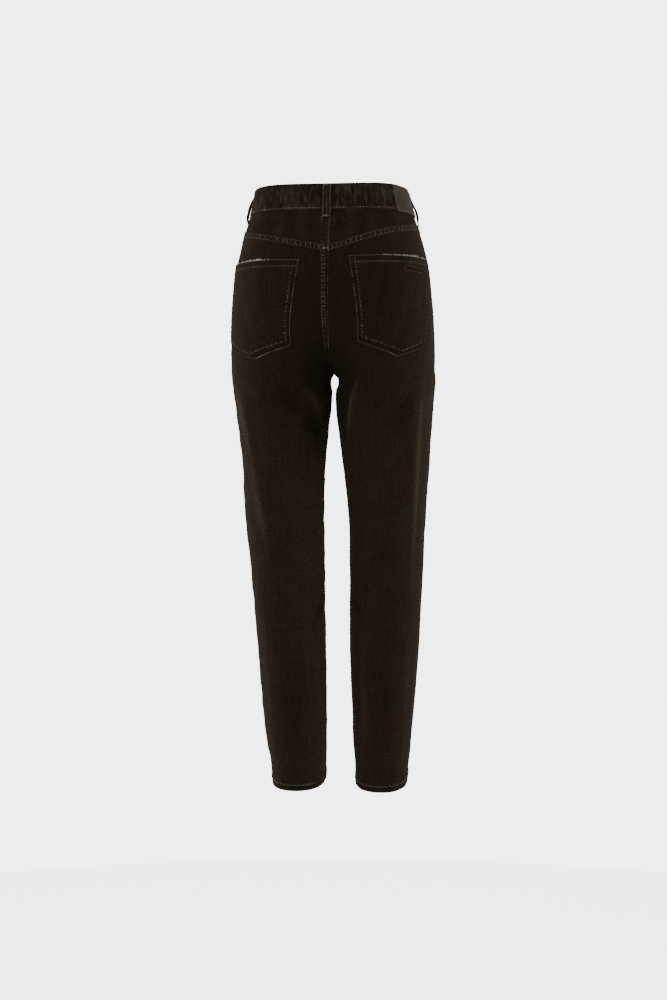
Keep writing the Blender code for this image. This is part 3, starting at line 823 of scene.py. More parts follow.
def make_twill() -> bpy.types.NodeTree:
    """Group that weaves the denim's diagonal ribs and its cross threads.

    Returns:
        The group, with outputs Height and Rib.
    """
    tree = start_group(
        "twill_weave",
        (("Vector", "NodeSocketVector"), ("Pitch", "NodeSocketFloat")),
        ("Height", "Rib"),
    )
    wire = Wiring(tree)
    source, sink = tree.nodes["Group Input"], tree.nodes["Group Output"]
    parts = wire.add("ShaderNodeSeparateXYZ")
    wire.feed(parts.inputs[0], source.outputs["Vector"])
    wander = wire.noise(source.outputs["Vector"], 90.0, 2.0)
    slant = wire.math("MULTIPLY_ADD", parts.outputs[1], 0.8, parts.outputs[0])
    turns = wire.math("DIVIDE", slant, source.outputs["Pitch"])
    turns = wire.math("MULTIPLY_ADD", wander, 1.2, turns)
    rib = wire.math("SINE", wire.math("MULTIPLY", turns, math.tau))
    cross = wire.math("DIVIDE", parts.outputs[1], source.outputs["Pitch"])
    cross = wire.math("SINE", wire.math("MULTIPLY", cross, math.tau * 1.7))
    height = wire.math("MULTIPLY_ADD", rib, 0.35, 0.5)
    height = wire.math("MULTIPLY_ADD", cross, 0.15, height)
    wire.feed(sink.inputs["Height"], height)
    wire.feed(sink.inputs["Rib"], wire.math("MULTIPLY_ADD", rib, 0.5, 0.5))
    return tree


def make_wash() -> bpy.types.NodeTree:
    """Group of a garment wash: upright streaks, soft clouds and fine grain.

    Returns:
        The group, with outputs Streak, Cloud and Grain.
    """
    tree = start_group("garment_wash", (("Vector", "NodeSocketVector"),), ("Streak", "Cloud", "Grain"))
    wire = Wiring(tree)
    source, sink = tree.nodes["Group Input"], tree.nodes["Group Output"]
    vector = source.outputs["Vector"]
    wide = wire.noise(wire.stretched(vector, (260.0, 14.0, 1.0)), 1.0, 2.0)
    fine = wire.noise(wire.stretched(vector, (700.0, 45.0, 1.0)), 1.0, 1.0)
    streak = wire.math("MULTIPLY_ADD", fine, 0.5, wire.math("MULTIPLY", wide, 0.5))
    wire.feed(sink.inputs["Streak"], wire.between(streak, 0.36, 0.66))
    wire.feed(sink.inputs["Cloud"], wire.between(wire.noise(vector, 26.0, 3.0, 0.6), 0.3, 0.7))
    warp = wire.noise(wire.stretched(vector, (980.0, 330.0, 1.0)), 1.0, 2.0, 0.6)
    weft = wire.noise(wire.stretched(vector, (330.0, 980.0, 1.0)), 1.0, 2.0, 0.6)
    wire.feed(sink.inputs["Grain"], wire.math("MULTIPLY_ADD", warp, 0.6, wire.math("MULTIPLY", weft, 0.4)))
    return tree


def make_edge_wear() -> bpy.types.NodeTree:
    """Group that breaks up the wear marked on edges and crests.

    Returns:
        The group, with output Mask.
    """
    tree = start_group(
        "edge_wear",
        (("Wear", "NodeSocketFloat"), ("Vector", "NodeSocketVector"), ("Amount", "NodeSocketFloat")),
        ("Mask",),
    )
    wire = Wiring(tree)
    source, sink = tree.nodes["Group Input"], tree.nodes["Group Output"]
    patchy = wire.noise(source.outputs["Vector"], 240.0, 3.0, 0.65)
    broken = wire.math("MULTIPLY_ADD", patchy, 1.5, 0.1)
    mask = wire.math("MULTIPLY", source.outputs["Wear"], broken)
    mask = wire.math("MULTIPLY", mask, source.outputs["Amount"])
    wire.feed(sink.inputs["Mask"], wire.between(mask, 0.02, 1.0))
    return tree


@dataclass
class Groups:
    """The node groups that the finishes share."""

    twill: bpy.types.NodeTree
    wash: bpy.types.NodeTree
    edge_wear: bpy.types.NodeTree


def start_material(name: str) -> tuple[bpy.types.Material, Wiring, bpy.types.Node]:
    """New material with its Principled shader.

    Args:
        name: The material's name.

    Returns:
        The material, the wiring of its tree and the shader node.
    """
    material = bpy.data.materials.new(name)
    material.use_nodes = True
    wire = Wiring(material.node_tree)
    return material, wire, material.node_tree.nodes["Principled BSDF"]


def opaque(colour: Colour) -> tuple[float, float, float, float]:
    """Colour with full alpha."""
    return (*colour, 1.0)


@dataclass(frozen=True)
class DenimFinish:
    """Washed denim: dark dyed warp, lighter weft, fading and worn edges."""

    name: str
    deep: Colour
    faded: Colour
    worn: Colour
    wear: float = 1.0
    reach: float = 1.6
    pitch: float = 0.0011
    streaks: float = 0.16
    clouds: float = 0.09
    grain: float = 3.0
    ribs: float = 0.16
    smoothest: float = 0.76
    rough_grain: float = 0.2
    bump_grain: float = 0.8
    bump_depth: float = 0.0004
    shine: float = 0.05
    sheen: float = 0.03
    sheen_spread: float = 0.4
    sheen_tint: Colour = (0.75, 0.62, 0.48)

    def material(self, groups: Groups) -> bpy.types.Material:
        """Build the finish.

        Args:
            groups: The shared node groups.

        Returns:
            The material.
        """
        material, wire, shader = start_material(self.name)
        place = wire.add("ShaderNodeUVMap", uv_map="cloth").outputs[0]
        # The fade attribute carries the wash's fading together with painted highlight and painted shade.
        fade = wire.add("ShaderNodeAttribute", attribute_name="fade").outputs["Fac"]
        wear = wire.add("ShaderNodeAttribute", attribute_name="wear").outputs["Fac"]
        weave = wire.group(groups.twill, Vector=place, Pitch=self.pitch)
        wash = wire.group(groups.wash, Vector=place)
        worn = wire.group(groups.edge_wear, Wear=wear, Vector=place, Amount=self.wear)
        share = fade
        for signal, amount in (
            (wash.outputs["Streak"], self.streaks),
            (wash.outputs["Cloud"], self.clouds),
            (wash.outputs["Grain"], self.grain),
            (weave.outputs["Rib"], self.ribs),
        ):
            share = wire.math("MULTIPLY_ADD", wire.math("SUBTRACT", signal, 0.5), amount, share)
        colour = wire.blend(wire.between(share, 0.0, self.reach), opaque(self.deep), opaque(self.faded))
        colour = wire.blend(worn.outputs["Mask"], colour, opaque(self.worn))
        wire.feed(shader.inputs["Base Color"], colour)
        rough = wire.math("MULTIPLY_ADD", wash.outputs["Grain"], self.rough_grain, self.smoothest)
        wire.feed(shader.inputs["Roughness"], rough)
        shader.inputs["Specular IOR Level"].default_value = self.shine
        shader.inputs["Sheen Weight"].default_value = self.sheen
        shader.inputs["Sheen Roughness"].default_value = self.sheen_spread
        shader.inputs["Sheen Tint"].default_value = opaque(self.sheen_tint)
        bump = wire.add("ShaderNodeBump")
        bump.inputs["Strength"].default_value = 0.5
        bump.inputs["Distance"].default_value = self.bump_depth
        relief = wire.math("MULTIPLY_ADD", wash.outputs["Grain"], self.bump_grain, weave.outputs["Height"])
        wire.feed(bump.inputs["Height"], relief)
        wire.feed(shader.inputs["Normal"], bump.outputs[0])
        return material


@dataclass(frozen=True)
class ThreadFinish:
    """Twisted sewing thread, duller where it has rubbed."""

    name: str
    colour: Colour
    rubbed: Colour

    def material(self, groups: Groups) -> bpy.types.Material:
        """Build the finish."""
        material, wire, shader = start_material(self.name)
        place = wire.add("ShaderNodeTexCoord").outputs["Object"]
        patchy = wire.between(wire.noise(place, 55.0, 3.0), 0.38, 0.62)
        wire.feed(shader.inputs["Base Color"], wire.blend(patchy, opaque(self.rubbed), opaque(self.colour)))
        twist = wire.noise(place, 2600.0, 1.0)
        wire.feed(shader.inputs["Roughness"], wire.math("MULTIPLY_ADD", twist, 0.2, 0.6))
        bump = wire.add("ShaderNodeBump")
        bump.inputs["Strength"].default_value = 0.4
        bump.inputs["Distance"].default_value = 0.0002
        wire.feed(bump.inputs["Height"], twist)
        wire.feed(shader.inputs["Normal"], bump.outputs[0])
        return material


@dataclass(frozen=True)
class LeatherFinish:
    """Matte leather-like board of the blank patch."""

    name: str
    colour: Colour
    dark: Colour
    pale: Colour

    def material(self, groups: Groups) -> bpy.types.Material:
        """Build the finish."""
        material, wire, shader = start_material(self.name)
        place = wire.add("ShaderNodeUVMap", uv_map="cloth").outputs[0]
        wear = wire.add("ShaderNodeAttribute", attribute_name="wear").outputs["Fac"]
        cloud = wire.between(wire.noise(place, 60.0, 4.0, 0.6), 0.3, 0.7)
        pores = wire.noise(place, 1400.0, 3.0, 0.6)
        worn = wire.group(groups.edge_wear, Wear=wear, Vector=place, Amount=1.0)
        colour = wire.blend(cloud, opaque(self.dark), opaque(self.colour))
        colour = wire.blend(worn.outputs["Mask"], colour, opaque(self.pale))
        wire.feed(shader.inputs["Base Color"], colour)
        wire.feed(shader.inputs["Roughness"], wire.math("MULTIPLY_ADD", pores, 0.25, 0.5))
        shader.inputs["Specular IOR Level"].default_value = 0.12
        bump = wire.add("ShaderNodeBump")
        bump.inputs["Strength"].default_value = 0.35
        bump.inputs["Distance"].default_value = 0.0004
        wire.feed(bump.inputs["Height"], wire.math("MULTIPLY_ADD", cloud, 0.6, pores))
        wire.feed(shader.inputs["Normal"], bump.outputs[0])
        return material


@dataclass(frozen=True)
class MetalFinish:
    """Aged metal of the button and the zip, duller in soft stains."""

    name: str
    bright: Colour
    dull: Colour

    def material(self, groups: Groups) -> bpy.types.Material:
        """Build the finish."""
        material, wire, shader = start_material(self.name)
        place = wire.add("ShaderNodeTexCoord").outputs["Object"]
        stain = wire.between(wire.noise(place, 320.0, 4.0, 0.6), 0.35, 0.65)
        wire.feed(shader.inputs["Base Color"], wire.blend(stain, opaque(self.dull), opaque(self.bright)))
        wire.feed(shader.inputs["Roughness"], wire.math("MULTIPLY_ADD", stain, -0.2, 0.48))
        shader.inputs["Metallic"].default_value = 1.0
        return material


@dataclass(frozen=True)
class TapeFinish:
    """Close-woven tape that carries the zip."""

    name: str
    colour: Colour
    pale: Colour

    def material(self, groups: Groups) -> bpy.types.Material:
        """Build the finish."""
        material, wire, shader = start_material(self.name)
        place = wire.add("ShaderNodeUVMap", uv_map="cloth").outputs[0]
        weave = wire.group(groups.twill, Vector=place, Pitch=0.0016)
        wire.feed(
            shader.inputs["Base Color"],
            wire.blend(weave.outputs["Rib"], opaque(self.colour), opaque(self.pale)),
        )
        wire.feed(shader.inputs["Roughness"], wire.math("MULTIPLY_ADD", weave.outputs["Height"], 0.2, 0.65))
        bump = wire.add("ShaderNodeBump")
        bump.inputs["Strength"].default_value = 0.5
        bump.inputs["Distance"].default_value = 0.0003
        wire.feed(bump.inputs["Height"], weave.outputs["Height"])
        wire.feed(shader.inputs["Normal"], bump.outputs[0])
        return material


@dataclass(frozen=True)
class StudioFinish:
    """Pale matte floor of the studio."""

    name: str
    colour: Colour
    shaded: Colour
    glow: Colour = (1.0, 1.0, 1.0)
    glow_strength: float = 3.5

    def material(self, groups: Groups) -> bpy.types.Material:
        """Build the finish."""
        material, wire, shader = start_material(self.name)
        place = wire.add("ShaderNodeTexCoord").outputs["Object"]
        soft = wire.noise(place, 0.8, 2.0)
        wire.feed(shader.inputs["Base Color"], wire.blend(soft, opaque(self.shaded), opaque(self.colour)))
        wire.feed(shader.inputs["Roughness"], wire.math("MULTIPLY_ADD", soft, 0.05, 0.9))
        seen = wire.add("ShaderNodeLightPath").outputs["Is Camera Ray"]
        glow = wire.blend(seen, opaque((0.0, 0.0, 0.0)), opaque(self.glow))
        wire.feed(shader.inputs["Emission Color"], glow)
        shader.inputs["Emission Strength"].default_value = self.glow_strength
        return material


DENIM = DenimFinish(
    "washed_denim", (0.0096, 0.0064, 0.0033), (0.0590, 0.0410, 0.0232), (0.16, 0.132, 0.094),
)
BAND_DENIM = DenimFinish(
    "waistband_denim", (0.0112, 0.0075, 0.0041), (0.0750, 0.0540, 0.0315), (0.16, 0.132, 0.097),
    streaks=0.26, clouds=0.45,
)
THREAD = ThreadFinish("tan_grey_thread", (0.125, 0.104, 0.075), (0.024, 0.0175, 0.011))
FRAYED_WEFT = ThreadFinish("frayed_weft", (0.46, 0.42, 0.35), (0.20, 0.175, 0.14))
PALE_THREAD = ThreadFinish("pale_thread", (0.26, 0.228, 0.18), (0.030, 0.023, 0.015))
PATCH_LEATHER = LeatherFinish(
    "blank_patch_leather", (0.050, 0.038, 0.023), (0.036, 0.027, 0.016), (0.09, 0.074, 0.052),
)
AGED_METAL = MetalFinish("aged_metal", (0.30, 0.25, 0.19), (0.09, 0.072, 0.052))
ZIP_TAPE = TapeFinish("zip_tape", (0.010, 0.009, 0.008), (0.022, 0.019, 0.016))
STUDIO = StudioFinish("studio_floor", (0.84, 0.84, 0.84), (0.80, 0.80, 0.80))


@dataclass
class Finishes:
    """Every finish of the jeans, built once."""

    denim: bpy.types.Material
    band: bpy.types.Material
    thread: bpy.types.Material
    pale_thread: bpy.types.Material
    weft: bpy.types.Material
    patch: bpy.types.Material
    metal: bpy.types.Material
    tape: bpy.types.Material
    floor: bpy.types.Material

    @classmethod
    def build(cls) -> "Finishes":
        """Build the node groups and then each finish."""
        groups = Groups(make_twill(), make_wash(), make_edge_wear())
        cloths = (DENIM, BAND_DENIM, THREAD, PALE_THREAD, FRAYED_WEFT)
        others = (PATCH_LEATHER, AGED_METAL, ZIP_TAPE, STUDIO)
        return cls(*(finish.material(groups) for finish in cloths + others))


@dataclass(frozen=True)
class SheetCut:
    """How one piece was cut: width, length and area in metres."""

    width: float
    length: float
    area: float


def crowded_shares(count: int, pull: float = 0.55) -> np.ndarray:
    """Shares from 0 to 1 that lie closer together at both ends."""
    even = np.linspace(0.0, 1.0, count)
    return even - pull * np.sin(math.tau * even) / math.tau


@dataclass
class LegPanel:
    """Back or front leg panel, with its seam strips, hem and creases."""

    side: Side
    face: Face
    columns: int = 104
    strip_raise: float = 0.7
    yoke_strip: float = 9.6
    hem_raise: float = 0.7
    rope_length: float = 7.5
    mouth_depth: float = 68.0
    mouth_reach: float = 0.58
    fly_width: float = 35.0
    fly_length: float = 150.0
    cloth: Cloth | None = None
    width: np.ndarray | None = None
    hem: np.ndarray | None = None

    @property
    def word(self) -> str:
        """The side's name."""
        return self.side.name.lower()

    def top_line(self, share: np.ndarray) -> np.ndarray:
        """Height of the panel's top edge."""
        if self.face is Face.FRONT:
            return np.full(share.shape, BAND_BOTTOM + 4.0)
        return yoke_line(self.side, share * BACK_LENGTH)

    def outer_edge(self, height: np.ndarray) -> np.ndarray:
        """Angle of the outer edge: the side seam, and the mouth's scoop on a front."""
        seam = side_seam(height)
        if self.face is Face.BACK:
            return seam
        middle = FORMS[self.side].seam(self.face, height)
        down = np.clip((BAND_BOTTOM - height) / self.mouth_depth, 0.0, 1.0)
        return seam + (middle - seam) * self.mouth_reach * np.sqrt(np.maximum(1.0 - down * down, 0.0))

    def levels(self) -> np.ndarray:
        """Heights of the rows above the hem, close at the top seam.

        Returns:
            The heights, falling.
        """
        if self.face is Face.BACK:
            near = np.linspace(0.0, -13.0, 16)
            top = self.top_line(np.linspace(0.0, 1.0, 20)).mean() + near
            rest = np.linspace(top[-1], -300.0, 90)[1:]
        else:
            scoop = BAND_BOTTOM - self.mouth_depth * np.sin(np.radians(np.linspace(0.0, 90.0, 30)))
            top = np.concatenate([[BAND_BOTTOM + 4.0, BAND_BOTTOM + 2.0], scoop])
            rest = np.linspace(top[-1], -300.0, 74)[1:]
        thigh = np.linspace(-300.0, -420.0, 48)[1:]
        calf = np.linspace(-420.0, -898.0, 150)[1:]
        return np.concatenate([top, rest, thigh, calf])

    def make_cloth(self) -> Cloth:
        """Work out the panel's points, wear, and fading with painted highlight and shade.

        Returns:
            The panel's cloth.
        """
        form = FORMS[self.side]
        share = crowded_shares(self.columns)[None, :]
        top = self.top_line(share)
        level = self.levels()[:, None] + 0.0 * share
        height = level + smooth_step(-170.0, float(top.mean()), level) * (top - top.mean())
        turn = np.radians(-90.0 + 180.0 * share if self.face is Face.BACK else 270.0 - 180.0 * share)
        hem = HEM_SIDE - HEM_DROP * np.cos(turn)
        height = height + (1.0 - smooth_step(-898.0, -740.0, level)) * (hem - HEM_SIDE)
        hem_steps = np.concatenate([np.linspace(16.0, 11.0, 8), np.linspace(10.2, 0.0, 13)])
        height = np.concatenate([height] + [hem + step for step in hem_steps], axis=0)
        share = share + 0.0 * height
        angle, width = form.spread(form.seam(self.face, height), self.outer_edge(height), height, share)
        inner, outer = share * width, (1.0 - share) * width
        below = top - height
        above = height - hem
        crease = form.creases(angle, height)
        out, wear, dark = self._relief(inner, outer, below, above, height)
        out = out + 0.45 * uneven(angle * 1.4, height, 46.0, 11 + self.side.value)
        out = out + 0.16 * uneven(angle * 1.4, height, 13.0, 21 + self.side.value)
        # Crests of the folds: partly real abrasion wear and partly painted highlight.
        wear = wear + 0.07 * np.clip(crease, 0.0, 3.0)
        # Painted highlight on the folds' ridges and painted shade in their troughs, less the hem's painted
        # shade.
        fade = self._fade(angle, height) + 0.13 * np.clip(crease, -2.6, 2.6) - dark
        thick = CLOTH + 1.0 * plateau(above, -1.0, HEM_HEIGHT, 0.6)
        self.width, self.hem = width, hem[0]
        self.cloth = Cloth(
            self.face.value + "_" + self.word, share[0], height,
            form.point(angle, height, out), form.point(angle, height, out - thick), wear, fade,
        )
        return self.cloth

    def _relief(
        self, inner: np.ndarray, outer: np.ndarray, below: np.ndarray, above: np.ndarray, height: np.ndarray
    ) -> tuple[np.ndarray, np.ndarray, np.ndarray]:
        """Raised seam strips, puckers and the turned hem.

        Args:
            inner: Distance from the centre seam or inseam.
            outer: Distance from the side seam.
            below: Distance below the top edge.
            above: Distance above the hem's edge.
            height: Heights in millimetres.

        Returns:
            How far the cloth stands out, its wear, and the painted shade of the hem's rope troughs and turned
            hem.
        """
        pucker = np.sin(height * math.tau / 6.4 + 1.5 * uneven(inner, height, 40.0, 5))
        trunk = smooth_step(CROTCH - 14.0, CROTCH + 6.0, height)
        seam = SEAT_STRIP[self.side]
        strip = plateau(inner, -2.0, seam, 0.7) * trunk
        out = 0.8 * strip + 0.2 * pucker * bell(inner, seam + 3.0, 4.0)
        edge = 0.8 if self.side is Side.RIGHT else 0.35
        wear = edge * bell(inner, seam - 0.3, 0.55) * trunk * (0.75 + 0.35 * uneven(inner, height, 18.0, 6))
        if self.side is Side.LEFT:
            ladder = np.clip(pucker, 0.0, 1.0) * plateau(inner, 1.2, 5.8, 0.8)
            fading = smooth_step(-262.0, -200.0, height) * trunk
            out = out + 0.2 * ladder * fading
            wear = wear + 0.5 * ladder * fading
        inseam = plateau(inner, 1.2, 6.5, 0.8) * (1.0 - trunk)
        out = out + 0.4 * inseam - 0.7 * bell(inner, 0.0, 1.1) * (1.0 - trunk)
        wear = wear + 0.4 * bell(inner, 6.5, 0.9) * (1.0 - trunk)
        if self.face is Face.BACK:
            yoke = plateau(below, -2.0, self.yoke_strip, 0.6)
            ripple = np.sin(inner * math.tau / 7.4 + 1.4 * uneven(inner, height, 30.0, 8))
            out = out + self.strip_raise * yoke * (1.0 - strip) + 0.14 * ripple * bell(below, 6.0, 6.0)
            wear = wear + 0.35 * bell(below, 0.2, 0.6) + 0.2 * bell(below, self.yoke_strip, 0.7)
            wear = wear + 0.5 * np.clip(ripple, 0.0, 1.0) * plateau(below, 2.6, 7.2, 0.8)
            side_lift = plateau(outer, 1.6, 8.0, 1.6)
        else:
            mouth = (below > 4.0) & (height > BAND_BOTTOM - self.mouth_depth)
            side_lift = np.where(mouth, plateau(outer, -2.0, 9.5, 0.8) * 1.6, plateau(outer, 1.6, 8.0, 1.6))
            wear = wear + 0.7 * bell(outer, 0.2, 0.8) * mouth + 0.3 * bell(outer, 9.5, 0.8) * mouth
            if self.side is Side.LEFT:
                fly = self._fly(inner, height)
                out = out + 0.5 * fly
                wear = wear + 0.5 * bell(inner, 0.3, 0.9) * smooth_step(-190.0, -160.0, height)
        out = out + 0.35 * side_lift - 0.6 * bell(outer, 0.0, 1.0) * (height < BAND_BOTTOM - self.mouth_depth)
        rope = np.sin(
            (inner + above * 1.1) * math.tau / self.rope_length + 1.3 * uneven(inner, above, 35.0, 9)
        )
        turned = plateau(above, -2.0, HEM_HEIGHT, 0.6)
        out = out + self.hem_raise * turned + 0.35 * rope * plateau(above, 1.0, 9.0, 2.0)
        out = out - 0.5 * bell(above, 0.0, 0.9)
        wear = wear + 0.55 * bell(above, 0.3, 1.2) + 0.24 * np.clip(rope, 0.0, 1.0) * turned
        wear = wear + 0.12 * bell(above, HEM_HEIGHT, 0.8) + 0.55 * bell(above, 9.6, 0.7)
        # Painted shade in the troughs of the hem's rope, and a darker turned hem.
        dark = 0.3 * np.clip(-rope, 0.0, 1.0) * turned + 0.16 * turned
        return out, wear, dark

    def _fly(self, inner: np.ndarray, height: np.ndarray) -> np.ndarray:
        """Raised fly facing, rounded in at its foot."""
        down = np.clip((BAND_BOTTOM - height - self.fly_length + 40.0) / 40.0, 0.0, 1.0)
        reach = self.fly_width * np.sqrt(np.maximum(1.0 - down * down, 0.0))
        return 1.0 - smooth_step(0.0, 1.0, inner - reach)

    def _fade(self, angle: np.ndarray, height: np.ndarray) -> np.ndarray:
        """How far the wash has faded the dye, with painted highlight on the outer sides, painted light that
        lifts the inner thigh's shade, a painted crease highlight and painted shade on the seat, from 0 to 1.
        """
        turn = (angle + 180.0) % 360.0 - 180.0
        # Painted highlight: the outer sides of the legs are lighter where the side lamps catch them.
        strength = 0.2 if self.side is Side.LEFT else 0.14
        away = np.abs(turn)
        painted_side_light = strength * smooth_step(18.0, 64.0, away) * (1.0 - smooth_step(96.0, 150.0, away))
        below_seat = 1.0 - smooth_step(-450.0, -380.0, height)
        # Painted light that lifts the shade on the inner thigh, below the seat.
        inside = 0.34 if self.side is Side.LEFT else 0.04
        painted_side_light = painted_side_light + inside * bell(turn, -60.0, 36.0) * below_seat
        # Painted highlight of a crease on the back of the thigh.
        painted_side_light = painted_side_light + 0.2 * bell(turn, -76.0, 7.0) * below_seat * smooth_step(-720.0, -640.0, height)
        # Painted shade: the middle of the seat is darker, towards the crotch.
        seat = -0.26 * bell(turn, -48.0, 44.0) * smooth_step(-400.0, -250.0, height)
        front = 0.28 * bell(np.abs(turn), 180.0, 34.0) * smooth_step(-560.0, -420.0, height)
        knee = 0.2 * bell(np.abs(turn), 180.0, 40.0) * bell(height, -560.0, 70.0)
        return 0.36 + painted_side_light + seat + front + knee

    def sew(self, thread: Stitching) -> None:
        """Lay the panel's rows of stitches."""
        cloth = self.cloth
        across = cloth.across
        low = self.hem + 9.4
        thread.row(cloth, across, low)
        if self.face is Face.BACK:
            for drop in (1.6, 8.2):
                thread.row(cloth, across[2:-2], self.top_line(across[2:-2]) - drop)
            if self.side is Side.RIGHT:
                return
            height = np.linspace(-92.0, -236.0, 60)
            row = np.interp(-height, -cloth.height[:, 0], np.arange(len(cloth.height))).astype(int)
            for away in (1.0, 6.0):
                thread.row(cloth, away / self.width[row, 0], height)
            return
        height = np.linspace(BAND_BOTTOM - 1.0, BAND_BOTTOM - self.mouth_depth + 1.5, 50)
        row = np.interp(-height, -cloth.height[:, -1], np.arange(len(cloth.height))).astype(int)
        for away in (2.0, 8.0):
            thread.row(cloth, 1.0 - away / self.width[row, -1], height)
        if self.side is Side.LEFT:
            for away in (2.0, 8.0):
                self._sew_fly(thread, away)
        height = np.linspace(-190.0, -256.0, 30)
        row = np.interp(-height, -cloth.height[:, 0], np.arange(len(cloth.height))).astype(int)
        thread.row(cloth, 2.8 / self.width[row, 0], height)

    def _sew_fly(self, thread: Stitching, inside: float) -> None:
        """Lay one line of the fly's curved stitching.

        Args:
            thread: Takes the row.
            inside: Distance in from the facing's edge in millimetres.
        """
        cloth = self.cloth
        reach = self.fly_width - inside
        foot = BAND_BOTTOM - self.fly_length + inside
        straight = np.linspace(BAND_BOTTOM - 1.0, foot + 40.0, 40)
        bend = np.radians(np.linspace(0.0, 80.0, 24))
        height = np.concatenate([straight, foot + 40.0 - 40.0 * np.sin(bend)])
        away = np.concatenate([np.full(40, reach), reach * np.cos(bend)])
        row = np.interp(-height, -cloth.height[:, 0], np.arange(len(cloth.height))).astype(int)
        thread.row(cloth, away / self.width[row, 0], height)


@dataclass
class Yoke:
    """Back yoke between the waistband and the yoke seam."""

    side: Side
    columns: int = 96
    rows: int = 34
    cloth: Cloth | None = None

    def make_cloth(self) -> Cloth:
        """Work out the yoke's points, wear and fading.

        Returns:
            The yoke's cloth.
        """
        form = FORMS[self.side]
        share = crowded_shares(self.columns)[None, :]
        high = BAND_BOTTOM + 4.0
        low = yoke_line(self.side, share * BACK_LENGTH) - 1.0
        down = np.linspace(0.0, 1.0, self.rows)[:, None]
        height = high + (low - high) * down
        share = share + 0.0 * height
        angle, width = form.spread(form.seam(Face.BACK, height), side_seam(height), height, share)
        inner, outer = share * width, (1.0 - share) * width
        seam = SEAT_STRIP[self.side]
        strip = plateau(inner, -2.0, seam, 0.7)
        out = 0.75 * strip + 0.3 * plateau(outer, 1.6, 8.0, 1.6) - 0.6 * bell(outer, 0.0, 1.0)
        ripple = np.sin(inner * math.tau / 8.5 + 2.0 * uneven(inner, height, 40.0, 14))
        out = out + 0.22 * ripple * bell(height, BAND_BOTTOM - 3.0, 7.0)
        out = out + 0.3 * uneven(inner, height, 34.0, 31 + self.side.value)
        edge = 0.7 if self.side is Side.RIGHT else 0.4
        rungs = np.sin(height * math.tau / 6.8)
        wear = edge * bell(inner, seam - 0.3, 0.6) + 0.3 * bell(inner, 2.4, 1.4) * np.clip(rungs, 0.0, 1.0)
        fade = 0.34 + 0.1 * uneven(inner, height, 26.0, 41)
        self.cloth = Cloth(
            "yoke_" + self.side.name.lower(), share[0], height,
            form.point(angle, height, out), form.point(angle, height, out - CLOTH), wear, fade,
        )
        return self.cloth


class PocketRow(NamedTuple):
    """Corners of a back pocket: distances round from the centre seam, and heights."""

    inner_top: float
    top_inner: float
    outer_top: float
    top_outer: float
    inner_low: float
    low_inner: float
    tip: float
    low_tip: float
    outer_low: float
    low_outer: float


POCKETS = {
    Side.LEFT: PocketRow(41, -101, 194, -99, 61, -232, 136.4, -253, 193, -225),
    Side.RIGHT: PocketRow(36.5, -96, 188, -93, 56, -227, 131.4, -250, 188, -225),
}


